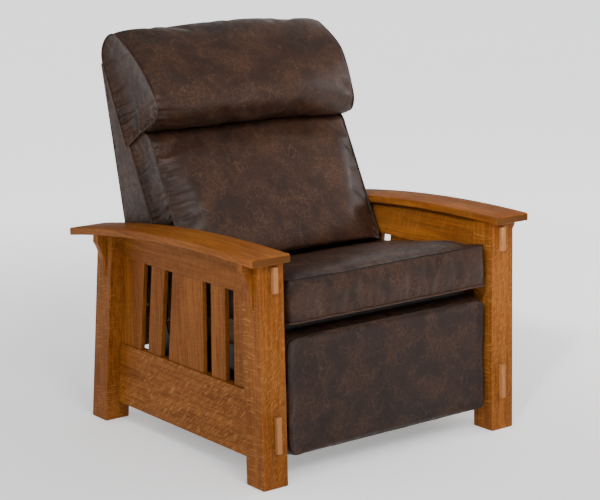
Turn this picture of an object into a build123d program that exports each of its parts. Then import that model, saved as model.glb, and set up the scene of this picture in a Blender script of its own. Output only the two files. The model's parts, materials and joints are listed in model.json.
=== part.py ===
from build123d import *
from math import cos, pi, radians, sin, sqrt, tan
import os

# A reclining mission armchair: an oak frame with slatted sides, a steel swing-link base,
# a scissor footrest, and leather cushions. All lengths are in millimetres, all angles in degrees.
# X runs across the chair, -Y is the front, Z is up from the floor. Left and right are as seen
# from the front. The origin lies on the floor, midway along the arms.
# A setback is a distance behind the front faces of the front posts.

# Oak frame, overall
frame_width = 800
post_size = 72
rear_foot_behind_seat = 199
post_rake = 8.2
post_edge_ease = 1.5
post_foot_ease = 3
arm_end_behind_seat = 290
arm_thickness = 20
arm_overhang_front = 22
arm_overhang_outer = 33
arm_overhang_inner = 6
arm_bend_radius = 4130
arm_crest_setback = 180
arm_crest_height = 555
arm_edge_ease = 2.5
joint_gap = 0.15
cut_overrun = 50

# Side rails, slats and end stiles
rail_inset = 35
rail_thickness = 24
upper_rail_drop = 97
lower_rail_bottom = 51
lower_rail_height = 169
slat_thickness = 12
slat_inset = 4
slat_tongue = 10
front_stile_width = 90
rear_stile_width = 38
slat_width = 62
rear_slat_width = 64
slat_gap = 37
front_slat_lean = 2

# Through tenons in the front posts, stub tenons in the raked rear posts, dowels under the arms
tenon_thickness = 14
tenon_reach = 13
tenon_chamfer = 2
upper_tenon_shoulders = (20, 12)
lower_tenon_shoulders = (37, 42)
stub_tenon_depth = 40
dowel_radius = 5
dowel_sides = 8
dowel_in_post = 22
dowel_in_arm = 12
dowel_spacing = 36
dowel_inset = 20

# Corbels under the arms
corbel_thickness = 26
corbel_projection = 28
corbel_height = 112
corbel_lip = 18
corbel_tip = 3
corbel_sweep_share = 0.34

# Rear stretcher between the rear posts
stretcher_thickness = 24
stretcher_bottom = 190
stretcher_height = 110
stretcher_tenon_depth = 30
stretcher_tenon_height_share = 0.66
stretcher_in_post = 34

# Steel base bolted inside the lower rails
steel_gauge = 4
base_rail_setback = 176
base_rail_behind_seat = 116
base_rail_bottom = 110
base_rail_height = 62
base_flange_width = 22
base_bolt_share = (0.18, 0.5, 0.9)
base_bolt_radius = 4
base_bolt_head_radius = 8
base_bolt_head_height = 4
base_bolt_embed = 18
bolt_sides = 8
bolt_head_sides = 6
bolt_hole_gap = 0.4
cross_tube_size = 25
cross_tube_wall = 2
cross_tube_end_inset = 46
cross_tube_front_inset = 29

# Swing links that carry the seat
swing_length = 100
swing_rest_lean = 35
swing_width = 26
swing_setback = 196
swing_rear_inset = 14
swing_pivot_height = 142
swing_plane = 328
sway_tube_size = 17
sway_tube_wall = 2
sway_tube_share = 0.35
pin_radius = 5
pin_head_radius = 9
pin_head_height = 2.5
pin_gap = 0.06

# Seat plates, one each side
plate_plane = 320
plate_bottom = 205
plate_leg_width = 48
plate_leg_foot = 16
plate_nose_rise = 16
plate_tail_radius = 22
plate_edge_margin = 18
plate_corner_ease = 5
plate_flange_width = 36
plate_flange_front = 185
plate_flange_rear_inset = 10

# Footrest scissors
link_length = 230
link_width = 20
link_end_chords = 6
link_outer_plane = 312
link_plane_step = 4.5
link_axis_tilt = 5
link_closed_angle = 84
link_open_angle = 10
link_pivot_setback = 142
link_pivot_height = 310
link_pin_radius = 4
link_head_radius = 7
link_head_height = 2
slot_end_room = 4
torque_tube_size = 17
torque_tube_wall = 2
torque_tube_share = 0.27

# Footrest pad, board and brackets
pad_width = 630
pad_top = 361
pad_bottom = 62
pad_setback = 6
pad_depth = 52
pad_corner_radius = 34
pad_rings = ((110, 0), (9, 3.5), (2.5, 7.5), (0, 14))
pad_corner_share = -0.2
pad_corner_chords = 5
board_margin = 14
board_corner_radius = 20
board_thickness = 15
bracket_gauge = 3
bracket_heights = (115, 290)
bracket_flange_width = 27
bracket_reach = 8
bracket_window_radius = 9

# Seat frame, springs, deck and cushion
seat_tilt = 7
seat_width = 618
seat_setback = 3
seat_depth = 537
seat_front_top = 499
seat_front_bottom = 395
seat_front_lean = 3
seat_bulge = 3
seat_crown = 24
seat_crown_setback = 110
seat_roll_share = 0.485
seat_roll_height_share = 0.785
seat_top_sag = 4
cushion_draw = 5
soft_gap = 0.5
deck_thickness = 5
seat_rail_width = 22
seat_rail_outer = 302
seat_rail_height = 58
seat_rail_rear_inset = 4
front_rail_setback = 64
front_rail_thickness = 20
front_rail_bottom = 325
front_rail_width = 600
rear_rail_thickness = 22
seat_spring_count = 5
seat_spring_spacing = 115
spring_wire = 4
spring_swing = 46
spring_pitch = 34
clip_gauge = 2
clip_length = 14
clip_width = 34
frame_screw_radius = 3
frame_screw_length = 26
frame_screw_share = (0.1, 0.5, 0.9)

# Reclining back
back_pivot_behind_seat = 25
back_pivot_height = 318
back_width = 630
back_rear_lean = 12
back_seam_behind_seat = 75
back_seam_height = 575
back_seam_lean = 25.9
back_top = 953
cover_gauge = 3.5
cover_side_bottom = 392
cover_rear_bottom = 330
cover_side_behind_seat = 80
stile_thickness = 21
stile_heel_height = 340
back_rail_thickness = 22
back_rail_inset = 8
back_rail_room = 1.76
back_rail_height = 60
low_rail_bottom = 452
top_rail_drop = 15
hem_rail_span = (342, 400)
back_bracket_gauge = 3.5
back_bracket_top = 384
back_bracket_width = 46
back_screw_heights = (347, 372)
back_screw_radius = 2.5
back_screw_length = 15
back_spring_count = 4
back_spring_spacing = 130

# Lumbar cushion and headrest pillow. Their side outlines are (Y, Z) steps from the top of the seam
# between the cushions and the back.
lumbar_thickness = 104
lumbar_width = 624
lumbar_crown = 28
lumbar_crown_top = 10
lumbar_roll_drop = 201
lumbar_seat_gap = 1.2
crease = (-175.5, -164)
fold_drop = 210
pillow_width = 648
pillow_nose_low = (-245, -128)
pillow_nose = (-264, -103)
pillow_nose_top = (-257, -73)
pillow_front = (-170.5, 20)
pillow_front_top = (-67.5, 84)
pillow_back_top = (-15.5, 68)
pillow_rear_top = (4.5, 24)
pillow_rear_rise = 3
pillow_crown = 13

# Places worked out from the sizes above. The depth of the seat sets the depth of the frame.
seat_rear = seat_setback + seat_depth
rear_foot_setback = seat_rear + rear_foot_behind_seat
arm_length = arm_overhang_front + seat_rear + arm_end_behind_seat
FRONT = -(arm_length / 2 - arm_overhang_front)
post_outer = frame_width / 2
post_inner = post_outer - post_size
rail_outer = post_outer - rail_inset
rail_inner = rail_outer - rail_thickness
lower_rail_top = lower_rail_bottom + lower_rail_height
plate_inner = plate_plane - steel_gauge / 2
plate_outer = plate_plane + steel_gauge / 2
link_inner_plane = link_outer_plane - link_plane_step
upper_rail_bottom = arm_crest_height - upper_rail_drop
base_rail_length = seat_rear + base_rail_behind_seat - base_rail_setback
swing_spread = seat_rear - swing_rear_inset - swing_setback
seat_rail_rear = seat_rear - seat_rail_rear_inset
plate_flange_setbacks = (plate_flange_front, seat_rear - plate_flange_rear_inset)
back_half = back_width / 2
back_pivot_setback = seat_rear + back_pivot_behind_seat
back_rail_spans = (
    (low_rail_bottom, low_rail_bottom + back_rail_height),
    (back_top - top_rail_drop - back_rail_height, back_top - top_rail_drop),
)
lumbar_roll_height = back_top - lumbar_roll_drop
fold_height = back_top - fold_drop


# Shapes used throughout


def behind(setback):
    """Y of a place at a setback."""
    return FRONT + setback


def curve(points):
    """A line through two (y, z) points or an arc through three, in the YZ plane."""
    spots = [Vector(0, y, z) for y, z in points]
    return Line(*spots) if len(spots) == 2 else ThreePointArc(*spots)


def outline(runs):
    """A face in the YZ plane from lines and arcs."""
    return make_face([curve(run) for run in runs])


def polygon(points):
    """A face in the YZ plane from its corners."""
    return outline(zip(points, points[1:] + points[:1]))


def slab(face, x_low, x_high):
    """A plate with a YZ outline, from x_low to x_high."""
    return Pos(x_low, 0, 0) * extrude(face, amount=x_high - x_low, dir=(1, 0, 0))


def rod(radius, spot, x_low, x_high):
    """A round bar along X through a (y, z) spot."""
    bar = Cylinder(radius, abs(x_high - x_low))
    return Pos((x_low + x_high) / 2, *spot) * Rot(0, 90, 0) * bar


def flatted(sides, radius, spot, x_low, x_high):
    """A bar along X through a (y, z) spot, with flat sides in place of a round."""
    profile = Plane.YZ * RegularPolygon(radius, sides)
    return Pos(0, *spot) * slab(profile, x_low, x_high)


def square_tube(size, wall, spot, lean, x_end):
    """A square tube across the whole chair, turned to lie flat on a leaning link."""
    bore = size - 2 * wall
    solid = Box(2 * x_end, size, size) - Box(2 * x_end + cut_overrun, bore, bore)
    return Pos(0, *spot) * Rot(lean, 0, 0) * solid


def block(x0, x1, y0, y1, z0, z1):
    """A box between two corners."""
    centre = Pos((x0 + x1) / 2, (y0 + y1) / 2, (z0 + z1) / 2)
    return centre * Box(abs(x1 - x0), abs(y1 - y0), abs(z1 - z0))


def between(start, end, share):
    """The point at a share of the way between two points."""
    return tuple(a + (b - a) * share for a, b in zip(start, end))


def capsule(start, end, width):
    """Outline of a flat bar with round ends between two (y, z) pivots."""
    run = sqrt((end[0] - start[0]) ** 2 + (end[1] - start[1]) ** 2)
    along = ((end[0] - start[0]) / run * width / 2, (end[1] - start[1]) / run * width / 2)
    aside = (-along[1], along[0])

    def corner(spot, side):
        return spot[0] + side * aside[0], spot[1] + side * aside[1]

    start_cap = (start[0] - along[0], start[1] - along[1])
    end_cap = (end[0] + along[0], end[1] + along[1])
    return outline(
        [
            (corner(start, 1), corner(end, 1)),
            (corner(end, 1), end_cap, corner(end, -1)),
            (corner(end, -1), corner(start, -1)),
            (corner(start, -1), start_cap, corner(start, 1)),
        ]
    )


def bar_outline(start, end, width):
    """Outline of a flat bar whose round ends are cut as short chords."""
    run = sqrt((end[0] - start[0]) ** 2 + (end[1] - start[1]) ** 2)
    ahead = ((end[0] - start[0]) / run * width / 2, (end[1] - start[1]) / run * width / 2)
    corners = []
    for spot, side in ((end, 1), (start, -1)):
        for step in range(link_end_chords + 1):
            turn = pi * (step / link_end_chords - 1 / 2)
            along, aside = side * cos(turn), side * sin(turn)
            y = spot[0] + along * ahead[0] - aside * ahead[1]
            corners.append((y, spot[1] + along * ahead[1] + aside * ahead[0]))
    return polygon(corners)


def flat_bar(start, end, width, plane, bores, sockets=()):
    """A steel bar centred on an X plane, bored round for its pivots and with flats for its fixed pins."""
    bar = slab(bar_outline(start, end, width), plane - steel_gauge / 2, plane + steel_gauge / 2)
    for spot, radius in bores:
        bar -= rod(radius, spot, plane - steel_gauge, plane + steel_gauge)
    for spot, radius in sockets:
        bar -= flatted(bolt_sides, radius, spot, plane - steel_gauge, plane + steel_gauge)
    return bar


def flat_face(corners):
    """A flat face between corners."""
    return make_face(Polyline(*corners, close=True))


def skinned(rings):
    """A solid with flat faces between rings of matching corners."""
    faces = [flat_face(rings[0]), flat_face(rings[-1])]
    for first, second in zip(rings, rings[1:]):
        for index in range(len(first)):
            faces.append(flat_face((first[index - 1], first[index], second[index], second[index - 1])))
    return Solid(Shell(faces))


def mirrored(shape):
    """The same piece on the other side of the chair."""
    return mirror(shape, about=Plane.YZ)


def both_sides(shapes):
    """Right-hand pieces together with their left-hand mirrors."""
    return Compound(children=list(shapes) + [mirrored(shape) for shape in shapes])


def save(name, shape):
    """Write one node."""
    export_step(shape, f"parts/{name}.step")


def save_pair(name, right_shape):
    """Write a right-hand piece, on +X, and its left-hand mirror."""
    save(name + "_right", right_shape)
    save(name + "_left", mirrored(right_shape))


# Oak frame


def under_arm(rise=0):
    """The round volume under a bent arm, or one that reaches higher."""
    half_span = post_outer + arm_overhang_outer + cut_overrun
    centre = (behind(arm_crest_setback), arm_crest_height - arm_bend_radius)
    return rod(arm_bend_radius + rise, centre, -half_span, half_span)


def arm_underside(setback):
    """Height of the arm's underside at a setback."""
    run = setback - arm_crest_setback
    return arm_crest_height - arm_bend_radius + sqrt(arm_bend_radius**2 - run**2)


def rear_post_front(height):
    """Y of the raked rear post's front face at a height."""
    return behind(rear_foot_setback) - height * tan(radians(post_rake))


def rear_arm_seat():
    """Height where the rear post's front face meets the arm."""
    guess = arm_underside(rear_foot_setback)
    return arm_underside(rear_post_front(guess) - FRONT)


def dowels(spare=0):
    """The dowels that hold one arm to its two posts."""
    x = post_outer - dowel_inset
    pins = []
    for centre in (behind(post_size / 2), rear_post_front(rear_arm_seat()) + post_size / 2):
        for side in (-1, 1):
            y = centre + side * dowel_spacing / 2
            seat = arm_underside(y - FRONT)
            length = dowel_in_post + dowel_in_arm + spare
            pin = extrude(RegularPolygon(dowel_radius + spare, dowel_sides), amount=length)
            pins.append(Pos(x, y, seat - dowel_in_post) * pin)
    return pins


def arm():
    """Bent arm board with eased edges."""
    x_inner = post_inner - arm_overhang_inner
    x_outer = post_outer + arm_overhang_outer
    y_front = behind(-arm_overhang_front)
    low = arm_underside(arm_length) - cut_overrun
    high = arm_crest_height + arm_thickness + cut_overrun
    blank = block(x_inner, x_outer, y_front, y_front + arm_length, low, high)
    board = (blank & under_arm(arm_thickness)) - under_arm()
    board = chamfer(board.edges(), arm_edge_ease)
    return board - dowels(joint_gap)


def tenon_band(shoulders, rail_low, rail_high, spare):
    """Lowest and highest Z of a rail's tenon, which rests on the floor of its mortise."""
    return rail_low + shoulders[0], rail_high - shoulders[1] + spare


def tenon_sides(spare):
    """X limits of a rail's tenon, bare-faced on the outside."""
    return rail_outer - tenon_thickness - spare, rail_outer + spare


def through_tenon(shoulders, rail_low, rail_high, spare=0):
    """Through tenon whose end shows on the front post's face."""
    low, high = tenon_band(shoulders, rail_low, rail_high, spare)
    tenon = block(*tenon_sides(spare), behind(-tenon_reach), behind(post_size), low, high)
    if spare:
        return tenon
    return chamfer(tenon.faces().sort_by(Axis.Y)[0].edges(), tenon_chamfer)


def stub_tenon(shoulders, rail_low, rail_high, spare=0):
    """Blind tenon that follows the rear post's rake."""
    low, high = tenon_band(shoulders, rail_low, rail_high, spare)
    depth = stub_tenon_depth + spare
    corners = [
        (rear_post_front(low), low),
        (rear_post_front(low) + depth, low),
        (rear_post_front(high) + depth, high),
        (rear_post_front(high), high),
    ]
    return slab(polygon(corners), *tenon_sides(spare))


def eased_post(post):
    """A post with its long edges and its foot eased."""
    post = chamfer(post.faces().sort_by(Axis.Z)[0].edges(), post_foot_ease)
    long_edges = [edge for edge in post.edges() if edge.length > arm_crest_height / 2]
    return chamfer(long_edges, post_edge_ease)


def front_post():
    """Front post with the mortises of its two through tenons."""
    blank = block(post_inner, post_outer, FRONT, behind(post_size), 0, arm_crest_height)
    post = eased_post(blank & under_arm())
    post -= through_tenon(upper_tenon_shoulders, upper_rail_bottom, arm_underside(post_size), joint_gap)
    post -= through_tenon(lower_tenon_shoulders, lower_rail_bottom, lower_rail_top, joint_gap)
    return post - dowels(joint_gap)


def rear_post():
    """Raked rear post, cut level at the floor and to the arm at the top."""
    depth = post_size / cos(radians(post_rake))
    corners = [
        (rear_post_front(0), 0),
        (rear_post_front(0) + depth, 0),
        (rear_post_front(arm_crest_height) + depth, arm_crest_height),
        (rear_post_front(arm_crest_height), arm_crest_height),
    ]
    post = eased_post(slab(polygon(corners), post_inner, post_outer) & under_arm())
    post -= stub_tenon(upper_tenon_shoulders, upper_rail_bottom, rear_arm_seat(), joint_gap)
    post -= stub_tenon(lower_tenon_shoulders, lower_rail_bottom, lower_rail_top, joint_gap)
    post -= stretcher_tenon(joint_gap)
    return post - dowels(joint_gap)


def slat_edges(height):
    """Y of every slat, stile and gap edge at a height, from the front post to the rear post."""
    shift = (upper_rail_bottom - height) * tan(radians(front_slat_lean))
    front_edges = [behind(post_size), behind(post_size + front_stile_width) + shift]
    for width in (slat_gap, slat_width, slat_gap):
        front_edges.append(front_edges[-1] + width)
    rear_edges = [rear_post_front(height)]
    for width in (rear_stile_width, rear_slat_width, slat_gap, slat_width, slat_gap):
        rear_edges.append(rear_edges[-1] - width)
    return front_edges + rear_edges[::-1]


# What stands between the posts, from the front
BETWEEN_POSTS = (
    "front stile",
    "gap",
    "front slat",
    "gap",
    "wide slat",
    "gap",
    "rear slat",
    "gap",
    "end slat",
    "rear stile",
)


def slat(name, spare=0):
    """A slat or stile with its tongues in both rails; its foot rests in the lower mortise."""
    place = BETWEEN_POSTS.index(name)
    low = lower_rail_top - slat_tongue
    high = upper_rail_bottom + slat_tongue + spare
    below, above = slat_edges(low), slat_edges(high)
    corners = [
        (below[place] - spare, low),
        (below[place + 1] + spare, low),
        (above[place + 1] + spare, high),
        (above[place] - spare, high),
    ]
    x_outer = rail_outer - slat_inset
    return slab(polygon(corners), x_outer - slat_thickness - spare, x_outer + spare)


def slat_mortises():
    """Room in the rails for the tongues of all slats and stiles."""
    return [slat(name, joint_gap) for name in BETWEEN_POSTS if name != "gap"]


def rail_body(low, high):
    """A side rail between the posts, its rear end cut to the rear post's rake."""
    corners = [
        (behind(post_size), low),
        (rear_post_front(low), low),
        (rear_post_front(high), high),
        (behind(post_size), high),
    ]
    return slab(polygon(corners), rail_inner, rail_outer)


def upper_rail():
    """Upper side rail, its top bent to the arm's underside."""
    rail = rail_body(upper_rail_bottom, arm_crest_height) & under_arm()
    rail += through_tenon(upper_tenon_shoulders, upper_rail_bottom, arm_underside(post_size))
    rail += stub_tenon(upper_tenon_shoulders, upper_rail_bottom, rear_arm_seat())
    return rail - slat_mortises()


def lower_rail():
    """Wide lower side rail with bolt holes for the steel base."""
    rail = rail_body(lower_rail_bottom, lower_rail_top)
    rail += through_tenon(lower_tenon_shoulders, lower_rail_bottom, lower_rail_top)
    rail += stub_tenon(lower_tenon_shoulders, lower_rail_bottom, lower_rail_top)
    rail -= slat_mortises()
    cut = (rail_inner - cut_overrun, rail_inner + base_bolt_embed + bolt_hole_gap)
    for spot in base_bolt_spots():
        rail -= flatted(bolt_sides, base_bolt_radius + bolt_hole_gap, spot, *cut)
    return rail


def corbel(y_front, top, lean):
    """Corbel with a square lip and a hollow sweep, on the outer face of a post."""
    tip_height = -corbel_height
    depth = corbel_projection - corbel_tip
    sweep_x = (corbel_projection + corbel_tip) / 2 - depth * corbel_sweep_share
    sweep = (sweep_x, 0, (tip_height - corbel_lip) / 2)
    rise = arm_crest_height - top
    profile = [
        Line((0, 0, rise), (corbel_projection, 0, rise)),
        Line((corbel_projection, 0, rise), (corbel_projection, 0, -corbel_lip)),
        ThreePointArc((corbel_projection, 0, -corbel_lip), sweep, (corbel_tip, 0, tip_height)),
        Line((corbel_tip, 0, tip_height), (0, 0, tip_height)),
        Line((0, 0, tip_height), (0, 0, rise)),
    ]
    shape = extrude(make_face(profile), amount=corbel_thickness, dir=(0, 1, 0))
    return Pos(post_outer, y_front, top) * Rot(lean, 0, 0) * shape & under_arm()


def corbels():
    """The front and rear corbels of both sides, each centred on its post."""
    front_setback = (post_size - corbel_thickness) / 2
    front = corbel(behind(front_setback), arm_underside(post_size / 2), 0)
    rear_top = arm_underside(rear_foot_setback)
    rear = corbel(rear_post_front(rear_top) + front_setback, rear_top, post_rake)
    return both_sides([front, rear])


def stretcher_front():
    """Y of the rear stretcher's front face."""
    return rear_post_front(stretcher_bottom + stretcher_height / 2) + stretcher_in_post


def stretcher_tenon(spare=0):
    """End tenon of the rear stretcher inside the right rear post."""
    low = stretcher_bottom + stretcher_height * (1 - stretcher_tenon_height_share) / 2
    high = low + stretcher_height * stretcher_tenon_height_share + spare
    y_front = stretcher_front() + stretcher_thickness / 4
    y_rear = y_front + stretcher_thickness / 2
    x_end = post_inner + stretcher_tenon_depth + spare
    return block(post_inner - joint_gap, x_end, y_front - spare, y_rear + spare, low, high)


def rear_stretcher():
    """Oak stretcher that ties the two rear posts."""
    y_front = stretcher_front()
    y_rear = y_front + stretcher_thickness
    top = stretcher_bottom + stretcher_height
    body = block(-post_inner, post_inner, y_front, y_rear, stretcher_bottom, top)
    return body + stretcher_tenon() + mirrored(stretcher_tenon())


# Steel base


def base_bolt_spots():
    """(y, z) of the bolts through a base rail into the lower rail."""
    height = base_rail_bottom + base_rail_height / 2
    return [(behind(base_rail_setback + share * base_rail_length), height) for share in base_bolt_share]


def swing_base(index):
    """(y, z) of a swing link's lower pivot: 0 is the front link, 1 the rear one."""
    return behind(swing_setback + index * swing_spread), swing_pivot_height


def swing_top(index):
    """(y, z) of a swing link's upper pivot with the chair at rest."""
    y, z = swing_base(index)
    lean = radians(swing_rest_lean)
    return y + swing_length * sin(lean), z + swing_length * cos(lean)


def base_rail():
    """Steel angle on the lower rail, with the swing links' lower pivots."""
    y_front = behind(base_rail_setback)
    y_rear = y_front + base_rail_length
    top = base_rail_bottom + base_rail_height
    face = rail_inner - steel_gauge
    rail = block(face, rail_inner, y_front, y_rear, base_rail_bottom, top)
    edge = rail_inner - base_flange_width
    rail += block(edge, rail_inner, y_front, y_rear, base_rail_bottom, base_rail_bottom + steel_gauge)
    cut = (face - steel_gauge, rail_inner + steel_gauge)
    for spot in base_bolt_spots():
        rail -= flatted(bolt_sides, base_bolt_radius + bolt_hole_gap, spot, *cut)
    for index in (0, 1):
        rail -= flatted(bolt_sides, pin_radius + pin_gap, swing_base(index), *cut)
    return rail


def cross_tubes():
    """Square tubes under the base rails that tie both sides together."""
    tubes = []
    rear_end = base_rail_setback + base_rail_length
    for setback in (base_rail_setback + cross_tube_front_inset, rear_end - cross_tube_end_inset):
        place = Pos(0, behind(setback), base_rail_bottom - cross_tube_size / 2)
        bore = cross_tube_size - 2 * cross_tube_wall
        solid = Box(2 * rail_inner, cross_tube_size, cross_tube_size)
        tubes.append(place * (solid - Box(2 * rail_inner + cut_overrun, bore, bore)))
    return Compound(children=tubes)


def base_bolts():
    """Bolts from the base rails into the lower rails."""
    face = rail_inner - steel_gauge
    bolts = []
    for spot in base_bolt_spots():
        head = flatted(bolt_head_sides, base_bolt_head_radius, spot, face - base_bolt_head_height, face)
        bolts.append(head + flatted(bolt_sides, base_bolt_radius, spot, face, rail_inner + base_bolt_embed))
    return both_sides(bolts)


def fixed_pin(radius, head_radius, spot, journal, socket, collars):
    """A pin along X: a round journal, flats in the piece that holds it, and hexagon collars."""
    pin = rod(radius, spot, *journal) + flatted(bolt_sides, radius, spot, *socket)
    for limits in collars:
        pin += flatted(bolt_head_sides, head_radius, spot, *limits)
    return pin


def swing_pins():
    """Shoulder pins of the swing links' lower pivots, riveted into the base rails."""
    link_in = swing_plane - steel_gauge / 2 - pin_gap
    link_out = swing_plane + steel_gauge / 2 + pin_gap
    face = rail_inner - steel_gauge
    collars = ((link_in - pin_head_height, link_in), (link_out, face))
    radii = pin_radius, pin_head_radius
    limits = (link_in, link_out), (face, rail_inner), collars
    return both_sides([fixed_pin(*radii, swing_base(index), *limits) for index in (0, 1)])


# Swing links


def swing_links(index):
    """The left and right swing links, front or rear."""
    ends = swing_base(index), swing_top(index)
    bores = [(spot, pin_radius + pin_gap) for spot in ends]
    return both_sides([flat_bar(*ends, swing_width, swing_plane, bores)])


def sway_tube(index):
    """Tube that makes the left and right swing links turn together."""
    spot = between(swing_base(index), swing_top(index), sway_tube_share)
    return square_tube(sway_tube_size, sway_tube_wall, spot, -swing_rest_lean, swing_plane - steel_gauge / 2)


# Footrest scissors


def scissor(angle):
    """Pivots of the scissor, in (y, z), for an angle between its links and its axis."""
    tilt = radians(link_axis_tilt)
    reach = link_length * cos(radians(angle))
    drop = link_length * sin(radians(angle))

    def at(reaches, drops):
        a, b = reaches * reach, drops * drop
        y = behind(link_pivot_setback) - a * cos(tilt) - b * sin(tilt)
        return y, link_pivot_height + a * sin(tilt) - b * cos(tilt)

    return {
        "root": at(0, 0),
        "slot": at(0, 1),
        "root_mid": at(1 / 2, 1 / 2),
        "root_end": at(1, 1),
        "long_end": at(1, 0),
        "rest_mid": at(3 / 2, 1 / 2),
        "rest_end": at(2, 1),
    }


CLOSED = scissor(link_closed_angle)
OPENED = scissor(link_open_angle)


def scissor_bar(start, end, plane, bored, socketed=()):
    """A scissor link, bored for the pins that turn in it and with flats for those that it holds."""
    bores = [(CLOSED[name], link_pin_radius + pin_gap) for name in bored]
    sockets = [(CLOSED[name], link_pin_radius + pin_gap) for name in socketed]
    return flat_bar(CLOSED[start], CLOSED[end], link_width, plane, bores, sockets)


def root_links():
    """The left and right links that carry the footrest from the seat plates."""
    held = ("root_mid", "root_end")
    return both_sides([scissor_bar("root", "root_end", link_inner_plane, ("root",), held)])


def torque_tube():
    """Tube between the root links that keeps both scissors in step."""
    spot = between(CLOSED["root"], CLOSED["root_end"], torque_tube_share)
    lean = link_closed_angle + link_axis_tilt
    return square_tube(torque_tube_size, torque_tube_wall, spot, lean, link_inner_plane - steel_gauge / 2)


def long_link():
    """Link whose lower end slides in the seat plate's slot, with its fixed stud."""
    bar = scissor_bar("slot", "long_end", link_outer_plane, ("root_mid", "long_end"))
    bar_face = link_outer_plane + steel_gauge / 2
    washer_face = plate_inner - bolt_hole_gap
    head_face = plate_outer + bolt_hole_gap
    spot = CLOSED["slot"]
    bar += flatted(bolt_head_sides, link_head_radius, spot, bar_face, washer_face)
    bar += rod(link_pin_radius, spot, washer_face, head_face)
    return bar + flatted(bolt_head_sides, link_head_radius, spot, head_face, head_face + link_head_height)


def short_link():
    """Half link from the root link's end to the middle of the footrest link."""
    return scissor_bar("root_end", "rest_mid", link_outer_plane, ("root_end", "rest_mid"))


def footrest_links():
    """The left and right links that hold the footrest board."""
    return both_sides([scissor_bar("long_end", "rest_end", link_inner_plane, (), ("long_end", "rest_mid"))])


def scissor_rivets(names):
    """Rivets held in the inner links of the scissors, on which the outer links turn."""
    low = link_inner_plane - steel_gauge / 2 - pin_gap
    face = link_inner_plane + steel_gauge / 2
    high = link_outer_plane + steel_gauge / 2 + pin_gap
    collars = ((low - link_head_height, low), (high, high + link_head_height))
    limits = (face, high), (low, face), collars
    return both_sides([fixed_pin(link_pin_radius, link_head_radius, CLOSED[name], *limits) for name in names])


# Footrest pad, board and brackets


def rounded_panel(width, low, high, radius, y_front, y_rear):
    """An upright panel across the chair with rounded corners."""
    profile = RectangleRounded(width, high - low, radius)
    plane = Plane(origin=(0, y_rear, (low + high) / 2), x_dir=(1, 0, 0), z_dir=(0, -1, 0))
    return extrude(plane * profile, amount=y_rear - y_front)


def board_limits(spare=0):
    """Width, lowest and highest Z of the footrest board, or of its pocket in the pad."""
    width = pad_width - 2 * board_margin + 2 * spare
    return width, pad_bottom + board_margin - spare, pad_top - board_margin + spare


def footrest_board():
    """Plywood board of the footrest, flush with the back of its pad."""
    y_rear = behind(pad_setback + pad_depth)
    return rounded_panel(*board_limits(), board_corner_radius, y_rear - board_thickness, y_rear)


def pad_ring(inset, step):
    """Corners of the pad's outline at a step behind its face, drawn in by an inset, with chords as rounds."""
    radius = pad_corner_radius + inset * pad_corner_share
    across = pad_width / 2 - inset - radius
    rise = (pad_top - pad_bottom) / 2 - inset - radius
    corners = []
    for side, end, start in ((1, 1, 0), (-1, 1, 1), (-1, -1, 2), (1, -1, 3)):
        for chord in range(pad_corner_chords + 1):
            turn = pi / 2 * (start + chord / pad_corner_chords)
            x = side * across + radius * cos(turn)
            z = (pad_bottom + pad_top) / 2 + end * rise + radius * sin(turn)
            corners.append((x, behind(pad_setback + step), z))
    return corners


def footrest_pad():
    """Padded leather face that wraps the footrest board: a low crown, then a rounded edge."""
    rings = [pad_ring(inset, step) for inset, step in pad_rings] + [pad_ring(0, pad_depth)]
    y_rear = behind(pad_setback + pad_depth)
    pocket = (y_rear - board_thickness - soft_gap, y_rear + cut_overrun)
    return skinned(rings) - rounded_panel(*board_limits(soft_gap), board_corner_radius, *pocket)


def footrest_bracket():
    """Angle bracket between a footrest link and the board."""
    y_board = behind(pad_setback + pad_depth)
    low, high = bracket_heights
    slope = (CLOSED["long_end"][0] - CLOSED["rest_end"][0]) / (CLOSED["long_end"][1] - CLOSED["rest_end"][1])

    def rear_edge(height):
        return CLOSED["rest_mid"][0] + (height - CLOSED["rest_mid"][1]) * slope + bracket_reach

    x_outer = link_inner_plane - steel_gauge / 2
    web = polygon([(y_board, low), (rear_edge(low), low), (rear_edge(high), high), (y_board, high)])
    bracket = slab(web, x_outer - bracket_gauge, x_outer)
    bracket += block(x_outer - bracket_flange_width, x_outer, y_board, y_board + bracket_gauge, low, high)
    cut = (x_outer - cut_overrun / 2, x_outer + bracket_gauge)
    return bracket - rod(bracket_window_radius, CLOSED["rest_mid"], *cut)


# Seat plates


def seat_line(setback):
    """Height of the top of the seat frame, which falls to the rear."""
    front = seat_front_bottom - soft_gap - deck_thickness
    return front - (setback - seat_setback) * tan(radians(seat_tilt))


def seat_frame_foot(setback):
    """Height of the seat side rails' underside."""
    return seat_line(setback) - seat_rail_height


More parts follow.
